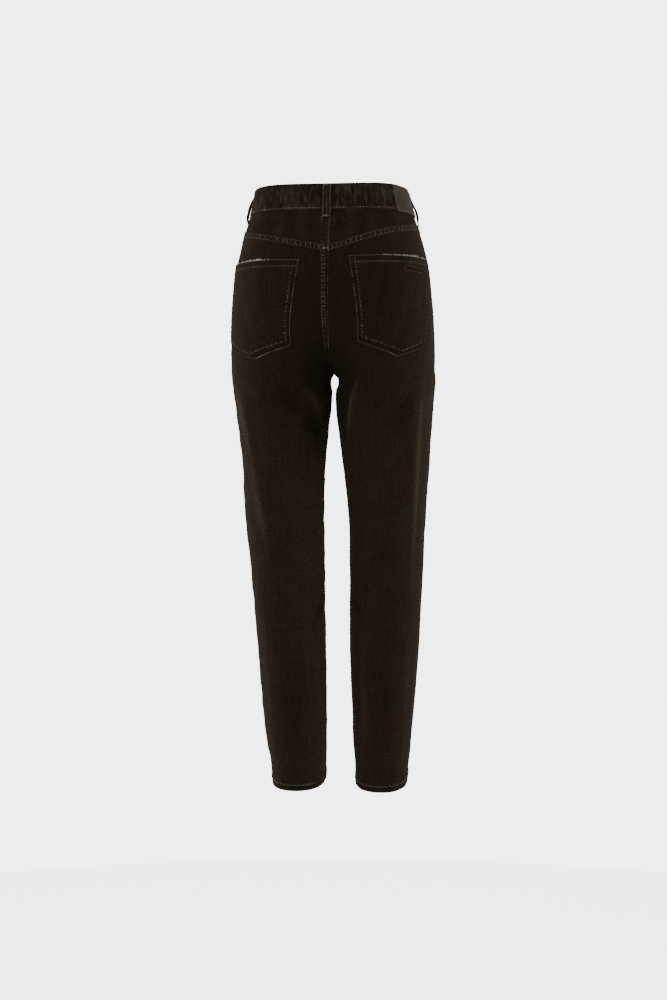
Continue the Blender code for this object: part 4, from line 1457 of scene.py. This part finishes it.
@dataclass
class BackPocket:
    """Patch pocket with a turned top, a pointed foot and roped edges."""

    side: Side
    columns: int = 78
    rows: int = 84
    hem_depth: float = 11.5
    seam_inside: float = 8.0
    thick: float = 1.5
    cloth: Cloth | None = None
    head: np.ndarray | None = None
    foot: np.ndarray | None = None
    across_size: float = 0.0

    def make_cloth(self) -> Cloth:
        """Work out the pocket's points, wear, and fading with painted highlight and shade.

        Returns:
            The pocket's cloth.
        """
        form, row = FORMS[self.side], POCKETS[self.side]
        share = crowded_shares(self.columns)[None, :]
        down = crowded_shares(self.rows)[:, None]
        tip = (row.tip - row.inner_low) / (row.outer_low - row.inner_low)
        bend = np.interp(share, [0.0, tip, 1.0], [row.low_inner, row.low_tip, row.low_outer])
        round_corner = 5.0 if self.side is Side.RIGHT else 2.0
        bend = bend + round_corner * bell(share, 1.0, 0.05) + 1.5 * bell(share, 0.0, 0.03)
        head = row.top_inner + (row.top_outer - row.top_inner) * share + 0.0 * bend
        height = head + (bend - head) * down
        near = row.inner_top + (row.inner_low - row.inner_top) * down
        far = row.outer_top + (row.outer_low - row.outer_top) * down
        distance = near + (far - near) * share
        angle = form.at_distance(height, distance)
        inner, outer = share * (far - near), (1.0 - share) * (far - near)
        top, low = head - height, height - bend
        border = np.minimum(np.minimum(inner, outer), low * 0.94)
        along = np.where(low * 0.94 < np.minimum(inner, outer), inner, height)
        rope = np.sin(along * math.tau / 7.6 + 1.6 * uneven(inner, height, 30.0, 51))
        band = plateau(border, 2.6, self.seam_inside + 1.6, 1.4) * smooth_step(6.0, 12.0, top)
        rungs = bell(border, self.seam_inside + 0.8, 1.6) * smooth_step(12.0, 20.0, top)
        turned = plateau(top, -2.0, self.hem_depth, 0.7)
        out = 0.15 + self.thick + 0.45 * turned + 0.3 * rope * band
        out = out + 0.35 * plateau(border, -2.0, self.seam_inside, 0.8)
        out = out - 0.5 * bell(border, self.seam_inside, 0.7)
        out = out - 0.4 * bell(top, self.hem_depth - 0.6, 0.7)
        out = out - (self.thick - 0.2) * bell(np.minimum(border, top), 0.0, 0.55)
        out = out + 0.5 * uneven(inner, height, 38.0, 61 + self.side.value) * smooth_step(8.0, 26.0, border)
        wear = 0.85 * bell(border, 0.4, 0.7) * (0.8 + 0.4 * uneven(inner, height, 22.0, 71))
        wear = wear + 0.55 * np.clip(rope, 0.0, 1.0) * rungs + 1.0 * bell(top, 0.3, 0.7)
        wear = wear + 0.3 * bell(top, self.hem_depth, 1.0)
        ragged = smooth_step(0.3, 0.5, share) * (0.8 + 0.6 * uneven(inner, top, 9.0, 75))
        wear = wear + 1.5 * bell(top, 0.4, 1.0) * ragged
        # Painted highlight: lighter towards the pocket's outer side, as on the legs.
        fade = 0.30 + 0.12 * smooth_step(90.0, 150.0, distance) + 0.05 * uneven(inner, height, 30.0, 81)
        fade = fade - 0.12 * bell(border, self.seam_inside * 0.5, 3.0)
        # Painted shade: the right pocket is darker.
        fade = fade - (0.06 if self.side is Side.RIGHT else 0.0)
        self.head, self.foot, self.across_size = head[0], bend[0], float(far[0, 0] - near[0, 0])
        self.cloth = Cloth(
            "back_pocket_" + self.side.name.lower(), share[0], height,
            form.point(angle, height, out), form.point(angle, height, np.full(out.shape, 0.12)), wear, fade,
        )
        return self.cloth

    def sew(self, thread: Stitching) -> None:
        """Lay the rows of the pocket's top, sides and foot."""
        cloth = self.cloth
        share = cloth.across
        thread.row(cloth, share[2:-2], self.head[2:-2] - self.hem_depth + 1.6)
        for inside in (self.seam_inside,):
            near = inside / self.across_size
            for edge in (near, 1.0 - near):
                top = float(np.interp(edge, share, self.head)) - 3.0
                low = float(np.interp(edge, share, self.foot)) + inside + 1.0
                height = np.linspace(top, low, 40)
                thread.row(cloth, np.full(40, edge), height)
            middle = np.linspace(near, 1.0 - near, 60)
            thread.row(cloth, middle, np.interp(middle, share, self.foot) + inside * 1.08)
        if self.side is Side.RIGHT:
            self._sew_box(thread)

    def _sew_box(self, thread: Stitching) -> None:
        """Lay the small stitched box under the right pocket's hem."""
        left, right = 0.57, 0.915
        high = float(np.interp(0.8, self.cloth.across, self.head)) - self.hem_depth - 5.5
        low = high - 8.0
        level = np.linspace(left, right, 12)
        upright = np.linspace(high, low, 8)
        thread.row(self.cloth, level, np.full(12, high))
        thread.row(self.cloth, level, np.full(12, low))
        thread.row(self.cloth, np.full(8, left), upright)
        thread.row(self.cloth, np.full(8, right), upright)


@dataclass
class Fraying:
    """Loose ends of weft along a pocket's worn top edge."""

    name: str
    count: int = 90
    seed: int = 3

    def make(self, pocket: BackPocket, tuft: float, material: bpy.types.Material) -> bpy.types.Object:
        """Set thin strands on the edge, thickest at one tuft.

        Args:
            pocket: The pocket whose top edge has frayed.
            tuft: Share across where most strands stand.
            material: The strands' finish.

        Returns:
            The new object.
        """
        pick = random.Random(self.seed)
        gathered = bmesh.new()
        for index in range(self.count):
            clumped = index % 3 == 0
            share = min(max(pick.gauss(tuft, 0.05) if clumped else pick.uniform(0.34, 0.97), 0.02), 0.98)
            top = float(np.interp(share, pocket.cloth.across, pocket.head))
            root = Vector(pocket.cloth.at(np.array([share]), np.array([top - 0.6]))[0])
            facing = Vector(pocket.cloth.facing(np.array([share]), np.array([top - 3.0]))[0])
            length = pick.uniform(1.2, 3.4) if clumped else pick.uniform(0.8, 2.0)
            sideways = Vector((-facing.y, facing.x, 0.0)) * pick.uniform(-1.3, 1.3)
            run = (Vector((0.0, 0.0, 1.0)) + sideways + facing * pick.uniform(0.0, 0.5)).normalized()
            turn = run.to_track_quat("Z", "Y").to_matrix().to_4x4()
            scale = Matrix.Diagonal((MM, MM, MM, 1.0))
            place = scale @ Matrix.Translation(root + run * length / 2) @ turn
            bmesh.ops.create_cone(
                gathered, cap_ends=True, cap_tris=True, segments=5,
                radius1=0.42, radius2=0.14, depth=length, matrix=place,
            )
        mesh = bpy.data.meshes.new(self.name)
        gathered.to_mesh(mesh)
        gathered.free()
        return dress(self.name, mesh, material)


@dataclass
class Waistband:
    """Two-layer waistband, lapped left over right at the front."""

    overlap: float = 15.0
    drop_under: float = 3.6
    out: float = 1.0
    into: float = -2.2
    columns: int = 440
    rows: int = 30
    stitch_above: float = 2.0
    cloth: Cloth | None = None

    def round(self, distance: np.ndarray, height: np.ndarray, out: np.ndarray) -> np.ndarray:
        """Points round the waist: 0 at the back, one half each way to the front.

        Args:
            distance: Halves of the waist, past 1 on the lap.
            height: Heights in millimetres.
            out: How far out of the form.

        Returns:
            The points in millimetres.
        """
        points = np.empty(distance.shape + (3,))
        for side in Side:
            form = FORMS[side]
            start, end = form.seam(Face.BACK, height), form.seam(Face.FRONT, height)
            inside = np.abs(distance) <= 1.0
            own = np.where(inside, np.sign(distance + 1e-9), -np.sign(distance))
            share = np.where(inside, np.abs(distance), 2.0 - np.abs(distance))
            chosen = own == side.value
            angle, _ = form.spread(start, end, height, share)
            points[chosen] = form.point(angle, height, out)[chosen]
        return points

    def make_cloth(self) -> Cloth:
        """Work out the waistband's points, puckers, wear and fading.

        Returns:
            The waistband's cloth.
        """
        lap = self.overlap / HALF_WAIST
        share = np.linspace(0.0, 1.0, self.columns)[None, :]
        distance = (share * 2.0 - 1.0) * (1.0 + lap)
        down = crowded_shares(self.rows, 0.75)[:, None]
        height = BAND_TOP + (BAND_BOTTOM - BAND_TOP) * down + 0.0 * distance
        distance, share = distance + 0.0 * height, share + 0.0 * height
        along = distance * HALF_WAIST
        under = smooth_step(-1.0 + 1.25 * lap, -1.0 + 3.2 * lap, distance)
        edge = np.minimum(BAND_TOP - height, height - BAND_BOTTOM)
        above = height - BAND_BOTTOM
        pucker = np.sin(along * math.tau / 7.4 + 2.4 * uneven(along, height * 0.3, 52.0, 91))
        strength = 0.55 + 0.45 * uneven(along, height * 0.2, 70.0, 92)
        crest = pucker * strength * smooth_step(0.6, 6.0, edge)
        out = self.out - self.drop_under * (1.0 - under) + 0.34 * crest
        out = out - 0.8 * bell(edge, 0.0, 0.8) - 0.35 * bell(above, self.stitch_above, 1.0)
        out = out + 0.25 * uneven(along, height, 60.0, 93)
        inner = self.into - self.drop_under * (1.0 - under) + 0.4 * bell(edge, 0.0, 0.8)
        wear = 0.3 * bell(edge, 0.3, 0.8) + 0.14 * np.clip(crest, 0.0, 1.0) ** 2
        fade = 0.36 + 0.15 * crest + 0.19 * uneven(along * 1.8, height * 0.7, 15.0, 94)
        fade = fade - 0.2 * bell(above, 0.0, 1.6)
        self.cloth = Cloth(
            "waistband", share[0], height, self.round(distance, height, out),
            self.round(distance, height, inner + 0.0 * out), wear, fade,
        )
        return self.cloth

    def sew(self, thread: Stitching) -> None:
        """Lay the row along the lower edge and the lap's end."""
        share = np.linspace(0.004, 0.996, 700)
        thread.row(self.cloth, share, np.full(700, BAND_BOTTOM + self.stitch_above))
        upright = np.linspace(BAND_TOP - 2.5, BAND_BOTTOM + 3.0, 14)
        thread.row(self.cloth, np.full(14, 1.0 - 2.4 / (2.0 * HALF_WAIST)), upright)


SIDE_LIFTS = (0.0, 0.1, 0.4, 0.7, 0.95, 1.0, 1.0, 0.6, 0.15, 0.0)
LOW_LIFTS = (0.0, 0.0, 0.05, 0.2, 0.5, 0.95, 1.0, 0.6, 0.15, 0.0)


@dataclass
class BeltLoop:
    """Folded belt loop that stands off the waistband between two bar tacks."""

    name: str
    side: Side
    angle: float | None
    thick: float = 2.5
    stand_off: float = 7.8
    lifts: tuple[float, ...] = (0.0, 0.0, 0.62, 0.95, 1.0, 1.0, 0.86, 0.5, 0.12, 0.0)
    width: float = 12.5
    edge_wear: float = 0.9
    pressed: float = 1.0
    seat: float = 1.1
    columns: int = 15
    rows: int = 60
    cloth: Cloth | None = None

    def make_cloth(self) -> Cloth:
        """Work out the loop's points and wear.

        Returns:
            The loop's cloth.
        """
        form = FORMS[self.side]
        levels = (20.4, 17.5, 14.0, 8.0, 0.0, -9.0, -17.0, -24.0, -29.0, -34.0)
        share = np.linspace(0.0, 1.0, self.columns)[None, :]
        height = np.linspace(levels[0], levels[-1], self.rows)[:, None] + 0.0 * share
        falling = [-level for level in levels]
        bulge = sum(np.interp(-height + shift, falling, self.lifts) for shift in (-1.5, 0.0, 1.5)) / 3.0
        across = (share - 0.5) * self.width + 0.0 * height
        middle = np.array(0.0)
        if self.angle is None:
            centre = form.base(form.seam(Face.BACK, middle), middle)
            centre[0] = 0.0
            outward = np.array([0.0, 1.0, 0.0])
            wall_angle = form.seam(Face.BACK, height)
        else:
            centre = form.base(np.array(self.angle), middle)
            outward = form.normal(np.array(self.angle), middle)
            outward[2] = 0.0
            outward = outward / np.linalg.norm(outward)
            wall_angle = np.full(height.shape, self.angle)
        sideways = np.array([-outward[1], outward[0], 0.0])
        wall = form.base(wall_angle, height)
        depth = ((wall - centre) * outward).sum(axis=-1)
        start = centre + outward * depth[..., None] + sideways * across[..., None]
        start[..., 2] = height
        low = self.seat + (self.stand_off - self.seat) * bulge
        edge = np.minimum(share, 1.0 - share) * self.width + 0.0 * height
        relief = 0.35 * bell(edge, 1.9, 1.1) - 0.8 * bell(edge, 0.0, 0.7)
        relief = relief + 0.12 * uneven(across, height, 7.0, 15)
        wear = self.edge_wear * bell(edge, 0.6, 0.8) + 0.3 * bell(share + 0.0 * height, 0.5, 0.12)
        wear = wear * (0.75 + 0.35 * uneven(across, height, 12.0, 16)) + 0.5 * bell(height, 19.5, 1.2)
        fade = 0.42 + 0.14 * uneven(across, height, 9.0, 17)
        thick = self.thick * (self.pressed + (1.0 - self.pressed) * bulge)
        outer = start + outward * (low + thick + relief)[..., None]
        inner = start + outward * low[..., None]
        self.cloth = Cloth(self.name, share[0], height, outer, inner, wear, fade)
        return self.cloth

    def sew(self, thread: Stitching) -> None:
        """Sew a bar tack at each end."""
        thread.tack(self.cloth, 0.5, -31.6, 0.86, 2.2)
        thread.tack(self.cloth, 0.5, 17.2, 0.86, 2.0)


@dataclass
class Patch:
    """Blank leather-like patch sewn on the right of the waistband's back."""

    start: float = 106.0
    width: float = 66.0
    tall: float = 43.0
    thick: float = 1.3
    seat: float = 1.5
    columns: int = 70
    rows: int = 48
    cloth: Cloth | None = None

    def make_cloth(self) -> Cloth:
        """Work out the patch's points and wear.

        Returns:
            The patch's cloth.
        """
        form = FORMS[Side.RIGHT]
        share = crowded_shares(self.columns)[None, :]
        down = crowded_shares(self.rows)[:, None]
        top = BAND_TOP - 1.2
        height = top - self.tall * down + 0.0 * share
        distance = self.start + self.width * share + 0.0 * height
        angle = form.at_distance(0.0 * height, distance)
        edge_across = np.minimum(share, 1.0 - share) * self.width
        edge = np.minimum(edge_across, np.minimum(down, 1.0 - down) * self.tall) + 0.0 * height
        out = self.seat + self.thick - 0.9 * bell(edge, 0.0, 0.6) - 0.4 * bell(edge, 2.6, 0.7)
        out = out + 0.3 * uneven(distance, height, 26.0, 19)
        wear = 0.7 * bell(edge, 0.5, 0.8) + 0.3 * bell(edge, 3.8, 0.8)
        fade = 0.5 + 0.0 * edge
        self.cloth = Cloth(
            "patch", share[0], height, form.point(angle, height, out),
            form.point(angle, height, np.full(out.shape, self.seat - 0.4)), wear, fade,
        )
        return self.cloth

    def sew(self, thread: Stitching) -> None:
        """Lay the row of stitches just inside the patch's edge."""
        near = 2.6 / self.width
        high, low = BAND_TOP - 1.2 - 2.6, BAND_TOP - 1.2 - self.tall + 2.6
        level = np.linspace(near, 1.0 - near, 40)
        upright = np.linspace(high, low, 24)
        for height in (high, low):
            thread.row(self.cloth, level, np.full(40, height), lift=0.05)
        for share in (near, 1.0 - near):
            thread.row(self.cloth, np.full(24, share), upright, lift=0.05)


@dataclass
class PocketFacing:
    """Cloth that shows behind a front pocket's mouth."""

    side: Side
    depth: float = 92.0
    reach: float = 0.74
    into: float = -1.8
    thick: float = 1.0
    cloth: Cloth | None = None

    def make_cloth(self) -> Cloth:
        """Work out the facing's points.

        Returns:
            The facing's cloth.
        """
        form = FORMS[self.side]
        share = np.linspace(0.0, 1.0, 40)[None, :]
        down = np.linspace(0.0, 1.0, 40)[:, None]
        height = BAND_BOTTOM + 2.0 - self.depth * down + 0.0 * share
        seam, middle = side_seam(height), form.seam(Face.FRONT, height)
        angle, width = form.spread(seam, seam + (middle - seam) * self.reach, height, share + 0.0 * height)
        out = self.into + 0.25 * uneven(share * width, height, 30.0, 23)
        self.cloth = Cloth(
            "pocket_facing_" + self.side.name.lower(), share[0], height, form.point(angle, height, out),
            form.point(angle, height, out - self.thick), 0.0 * out,
            0.26 + 0.08 * uneven(share * width, height, 20.0, 24),
        )
        return self.cloth


@dataclass
class FrontStrip:
    """Upright strip behind the centre-front seam, such as the zip's tape."""

    name: str
    width: float
    shift: float
    length: float
    into: float
    thick: float
    cloth: Cloth | None = None

    def make_cloth(self) -> Cloth:
        """Work out the strip's points.

        Returns:
            The strip's cloth.
        """
        share = np.linspace(0.0, 1.0, 25)[None, :]
        top = BAND_BOTTOM - 2.0
        height = np.linspace(top, top - self.length, 60)[:, None] + 0.0 * share
        across = (share - 0.5) * self.width - self.shift + 0.0 * height
        grids = []
        for out in (self.into, self.into - self.thick):
            points = np.empty(across.shape + (3,))
            for side in Side:
                form = FORMS[side]
                reach = np.maximum(form.column("centre", height) - np.abs(across), 0.0)
                angle = 180.0 + np.degrees(np.arctan2(reach, form.column("front", height)))
                angle = np.minimum(angle, form.seam(Face.FRONT, height))
                placed = form.point(angle, height, np.full(angle.shape, out))
                chosen = across >= 0 if side is Side.LEFT else across < 0
                points[chosen] = placed[chosen]
            grids.append(points)
        self.cloth = Cloth(
            self.name, share[0], height, grids[0], grids[1], 0.0 * across, 0.3 + 0.0 * across
        )
        return self.cloth


@dataclass
class ZipParts:
    """Teeth and slider of the zip, in front of its tape."""

    pitch: float = 2.4
    tooth: tuple[float, float, float] = (3.2, 0.9, 1.2)
    slider: tuple[float, float, float] = (8.0, 2.2, 9.0)

    def make(self, tape: Cloth, material: bpy.types.Material) -> bpy.types.Object:
        """Set the teeth down the tape's middle, with the slider near the top.

        Args:
            tape: The zip's tape.
            material: The metal's finish.

        Returns:
            The new object.
        """
        top = float(tape.height[0, 0])
        foot = float(tape.height[-1, 0])
        gathered = bmesh.new()
        count = int((top - foot - 12.0) / self.pitch)
        for index in range(count):
            height = top - 8.0 - index * self.pitch
            point = Vector(tape.at(np.array([0.5]), np.array([height]))[0])
            self._block(gathered, point + Vector((0.0, -0.35, 0.0)), self.tooth)
        point = Vector(tape.at(np.array([0.5]), np.array([top - 10.0]))[0])
        self._block(gathered, point + Vector((0.0, -0.5, 0.0)), self.slider)
        mesh = bpy.data.meshes.new("zip_teeth")
        gathered.to_mesh(mesh)
        gathered.free()
        return dress("zip_teeth", mesh, material)

    def _block(self, gathered: bmesh.types.BMesh, centre: Vector, size: tuple[float, float, float]) -> None:
        """Add one bevelled block.

        Args:
            gathered: The mesh that grows.
            centre: Its middle in millimetres.
            size: Its size in millimetres.
        """
        part = bmesh.new()
        scale = Matrix.Diagonal((size[0], size[1], size[2], 1.0))
        bmesh.ops.create_cube(part, size=1.0, matrix=Matrix.Translation(centre) @ scale)
        bmesh.ops.bevel(
            part, geom=list(part.edges), offset=min(size) * 0.25, segments=1,
            affect="EDGES", profile=0.5, material=-1,
        )
        bmesh.ops.scale(part, verts=list(part.verts), vec=(MM, MM, MM))
        kept = bpy.data.meshes.new("block")
        part.to_mesh(kept)
        part.free()
        gathered.from_mesh(kept)
        bpy.data.meshes.remove(kept)


@dataclass
class WaistButton:
    """Domed shank button with a rolled rim and a ring round its blank middle."""

    radius: float = 8.5
    tall: float = 3.6
    seat: float = 1.3

    def make(self, material: bpy.types.Material) -> bpy.types.Object:
        """Turn the button from its profile and set it on the overlap.

        Args:
            material: The metal's finish.

        Returns:
            The new object.
        """
        profile = (
            (0.0, 0.62), (0.22, 0.62), (0.34, 0.60), (0.42, 0.70), (0.50, 0.72), (0.56, 0.62),
            (0.66, 0.60), (0.74, 0.74), (0.82, 0.92), (0.90, 0.98), (0.97, 0.86), (1.0, 0.62),
            (0.99, 0.38), (0.92, 0.20), (0.5, 0.05), (0.0, 0.05),
        )
        sheet = bmesh.new()
        verts = [sheet.verts.new((r * self.radius * MM, 0.0, z * self.tall * MM)) for r, z in profile]
        edges = [sheet.edges.new(pair) for pair in zip(verts, verts[1:])]
        bmesh.ops.spin(
            sheet, geom=verts + edges, cent=(0, 0, 0), axis=(0, 0, 1),
            angle=math.tau, steps=48, use_merge=True,
        )
        bmesh.ops.remove_doubles(sheet, verts=list(sheet.verts), dist=1e-6)
        form = FORMS[Side.LEFT]
        middle = form.seam(Face.FRONT, np.array(0.0))
        outward = form.normal(middle, np.array(0.0))
        outward[0] = 0.0
        facing = Vector((0.0, 0.0, 1.0)).rotation_difference(Vector(outward))
        bmesh.ops.rotate(sheet, verts=list(sheet.verts), cent=(0, 0, 0), matrix=facing.to_matrix())
        seat = (form.base(middle, np.array(0.0)) + outward * self.seat) * MM
        bmesh.ops.translate(sheet, verts=list(sheet.verts), vec=(0.0, seat[1], seat[2]))
        bmesh.ops.recalc_face_normals(sheet, faces=list(sheet.faces))
        mesh = bpy.data.meshes.new("button")
        sheet.to_mesh(mesh)
        sheet.free()
        return dress("button_dressed", mesh, material, ("button",))


@dataclass
class Studio:
    """Camera behind the jeans, soft lights and a pale floor."""

    distance: float = 2.6
    level: float = -0.469
    azimuth: float = 186.0
    view_height: float = 1.6
    floor_level: float = -1.75
    floor_radius: float = 3.2
    world: float = 0.55
    backdrop: float = 4.66

    def camera(self) -> None:
        """Set the camera at the photograph's place."""
        lens = bpy.data.cameras.new("camera")
        lens.sensor_fit = "VERTICAL"
        lens.sensor_height = 24.0
        lens.lens = 24.0 * self.distance / self.view_height
        camera = bpy.data.objects.new("camera", lens)
        bpy.context.scene.collection.objects.link(camera)
        turn = math.radians(self.azimuth)
        back = Vector((math.sin(turn), -math.cos(turn), 0.0))
        camera.location = back * self.distance + Vector((0.0, 0.0, self.level))
        camera.rotation_mode = "QUATERNION"
        camera.rotation_quaternion = (-back).to_track_quat("-Z", "Y")
        bpy.context.scene.camera = camera

    def lights(self) -> None:
        """Light the jeans softly from behind the camera and both sides."""
        world = bpy.data.worlds.new("studio")
        world.use_nodes = True
        wire = Wiring(world.node_tree)
        seen = wire.add("ShaderNodeLightPath").outputs["Is Camera Ray"]
        strength = wire.math("MULTIPLY_ADD", seen, self.backdrop - self.world, self.world)
        wire.feed(world.node_tree.nodes["Background"].inputs["Strength"], strength)
        wire.feed(world.node_tree.nodes["Background"].inputs["Color"], (1.0, 1.0, 1.0, 1.0))
        bpy.context.scene.world = world
        rows = (
            ("key", (1.5, 2.4, 1.3), 1.2, 34.0),
            ("fill", (-1.8, 2.4, -0.2), 1.6, 13.0),
            ("side_left", (2.3, -0.2, -0.3), 1.2, 32.0),
            ("side_right", (-2.3, -0.2, -0.3), 1.2, 27.0),
            ("front", (0.6, -2.8, 0.8), 1.6, 24.0),
        )
        for name, place, size, power in rows:
            lamp = bpy.data.lights.new(name, "AREA")
            lamp.shape = "RECTANGLE"
            lamp.size = size
            lamp.size_y = size
            lamp.energy = power
            item = bpy.data.objects.new(name, lamp)
            bpy.context.scene.collection.objects.link(item)
            item.location = place
            aim = Vector((0.0, 0.0, -0.45)) - Vector(place)
            item.rotation_mode = "QUATERNION"
            item.rotation_quaternion = aim.to_track_quat("-Z", "Y")

    def floor(self, material: bpy.types.Material) -> None:
        """Lay the pale floor well below the hanging jeans."""
        disc = bmesh.new()
        bmesh.ops.create_circle(disc, cap_ends=True, radius=self.floor_radius, segments=96)
        bmesh.ops.translate(disc, verts=list(disc.verts), vec=(0.0, 0.0, self.floor_level))
        mesh = bpy.data.meshes.new("floor")
        disc.to_mesh(mesh)
        disc.free()
        mesh.materials.append(material)
        floor = bpy.data.objects.new("floor", mesh)
        bpy.context.scene.collection.objects.link(floor)


def build_legs(finishes: Finishes) -> None:
    """Make the leg panels with their stitches.

    Args:
        finishes: Every finish.
    """
    for side in Side:
        for face in Face:
            panel = LegPanel(side, face, columns=104 if face is Face.BACK else 84)
            cloth = panel.make_cloth()
            piece = cloth.make(finishes.denim, "denim", (cloth.name,))
            thread = Stitching("stitches_" + cloth.name)
            panel.sew(thread)
            thread.make(finishes.thread, "denim")


def build_hips(finishes: Finishes) -> None:
    """Make the yokes, back pockets and front pocket facings.

    Args:
        finishes: Every finish.
    """
    for side in Side:
        yoke = Yoke(side)
        piece = yoke.make_cloth().make(finishes.denim, "denim", (yoke.cloth.name,))
        pocket = BackPocket(side)
        piece = pocket.make_cloth().make(finishes.denim, "denim", (pocket.cloth.name,))
        thread = Stitching("stitches_" + pocket.cloth.name)
        pocket.sew(thread)
        rows = [thread.make(finishes.thread, "denim")]
        count, tuft = (120, 0.46) if side is Side.LEFT else (90, 0.7)
        fray = Fraying("fray_" + side.name.lower(), count=count, seed=4 + side.value)
        rows.append(fray.make(pocket, tuft, finishes.weft))
        facing = PocketFacing(side)
        piece = facing.make_cloth().make(finishes.denim, "denim", (facing.cloth.name,))


def build_waist(finishes: Finishes) -> None:
    """Make the waistband, its loops, the patch and the button.

    Args:
        finishes: Every finish.
    """
    band = Waistband()
    piece = band.make_cloth().make(finishes.band, "waistband_denim", ("waistband",))
    thread = Stitching("stitches_waistband")
    band.sew(thread)
    thread.make(finishes.pale_thread, "waistband_denim")
    tacks = Stitching("bar_tacks", thickness=0.7)
    rows = (
        BeltLoop("loop_centre_back", Side.LEFT, None),
        BeltLoop("loop_side_left", Side.LEFT, 90.0, 2.4, 7.6, SIDE_LIFTS, edge_wear=0.0, pressed=0.4),
        BeltLoop("loop_side_right", Side.RIGHT, 90.0, 3.8, 3.5, LOW_LIFTS, edge_wear=0.0, pressed=0.3),
        BeltLoop("loop_front_left", Side.LEFT, 171.0),
        BeltLoop("loop_front_right", Side.RIGHT, 171.0),
    )
    for loop in rows:
        piece = loop.make_cloth().make(finishes.denim, "denim", (loop.name,))
        loop.sew(tacks)
    tacks.make(finishes.pale_thread, "denim")
    patch = Patch()
    patch.make_cloth().make(finishes.patch, "patch", ("patch",))
    edge = Stitching("stitches_patch", pitch=3.4, length=2.5, thickness=0.7)
    patch.sew(edge)
    edge.make(finishes.thread, "patch")
    WaistButton().make(finishes.metal)


def build_fly(finishes: Finishes) -> None:
    """Make the zip and the guard behind it.

    Args:
        finishes: Every finish.
    """
    tape = FrontStrip("zip", 22.0, 0.0, 154.0, -2.9, 1.0)
    piece = tape.make_cloth().make(finishes.tape, "zip_tape", ("zip",))
    ZipParts().make(tape.cloth, finishes.metal)
    guard = FrontStrip("fly_guard", 42.0, 4.0, 160.0, -5.4, 1.3)
    piece = guard.make_cloth().make(finishes.denim, "denim", ("fly_guard",))


def main() -> None:
    """Dress the jeans, then set the camera, lights and floor."""
    logging.basicConfig(level=logging.INFO, format="%(name)s: %(message)s")
    finishes = Finishes.build()
    build_legs(finishes)
    build_hips(finishes)
    build_waist(finishes)
    build_fly(finishes)
    studio = Studio()
    studio.camera()
    studio.lights()
    studio.floor(finishes.floor)


if __name__ == "__main__":
    main()
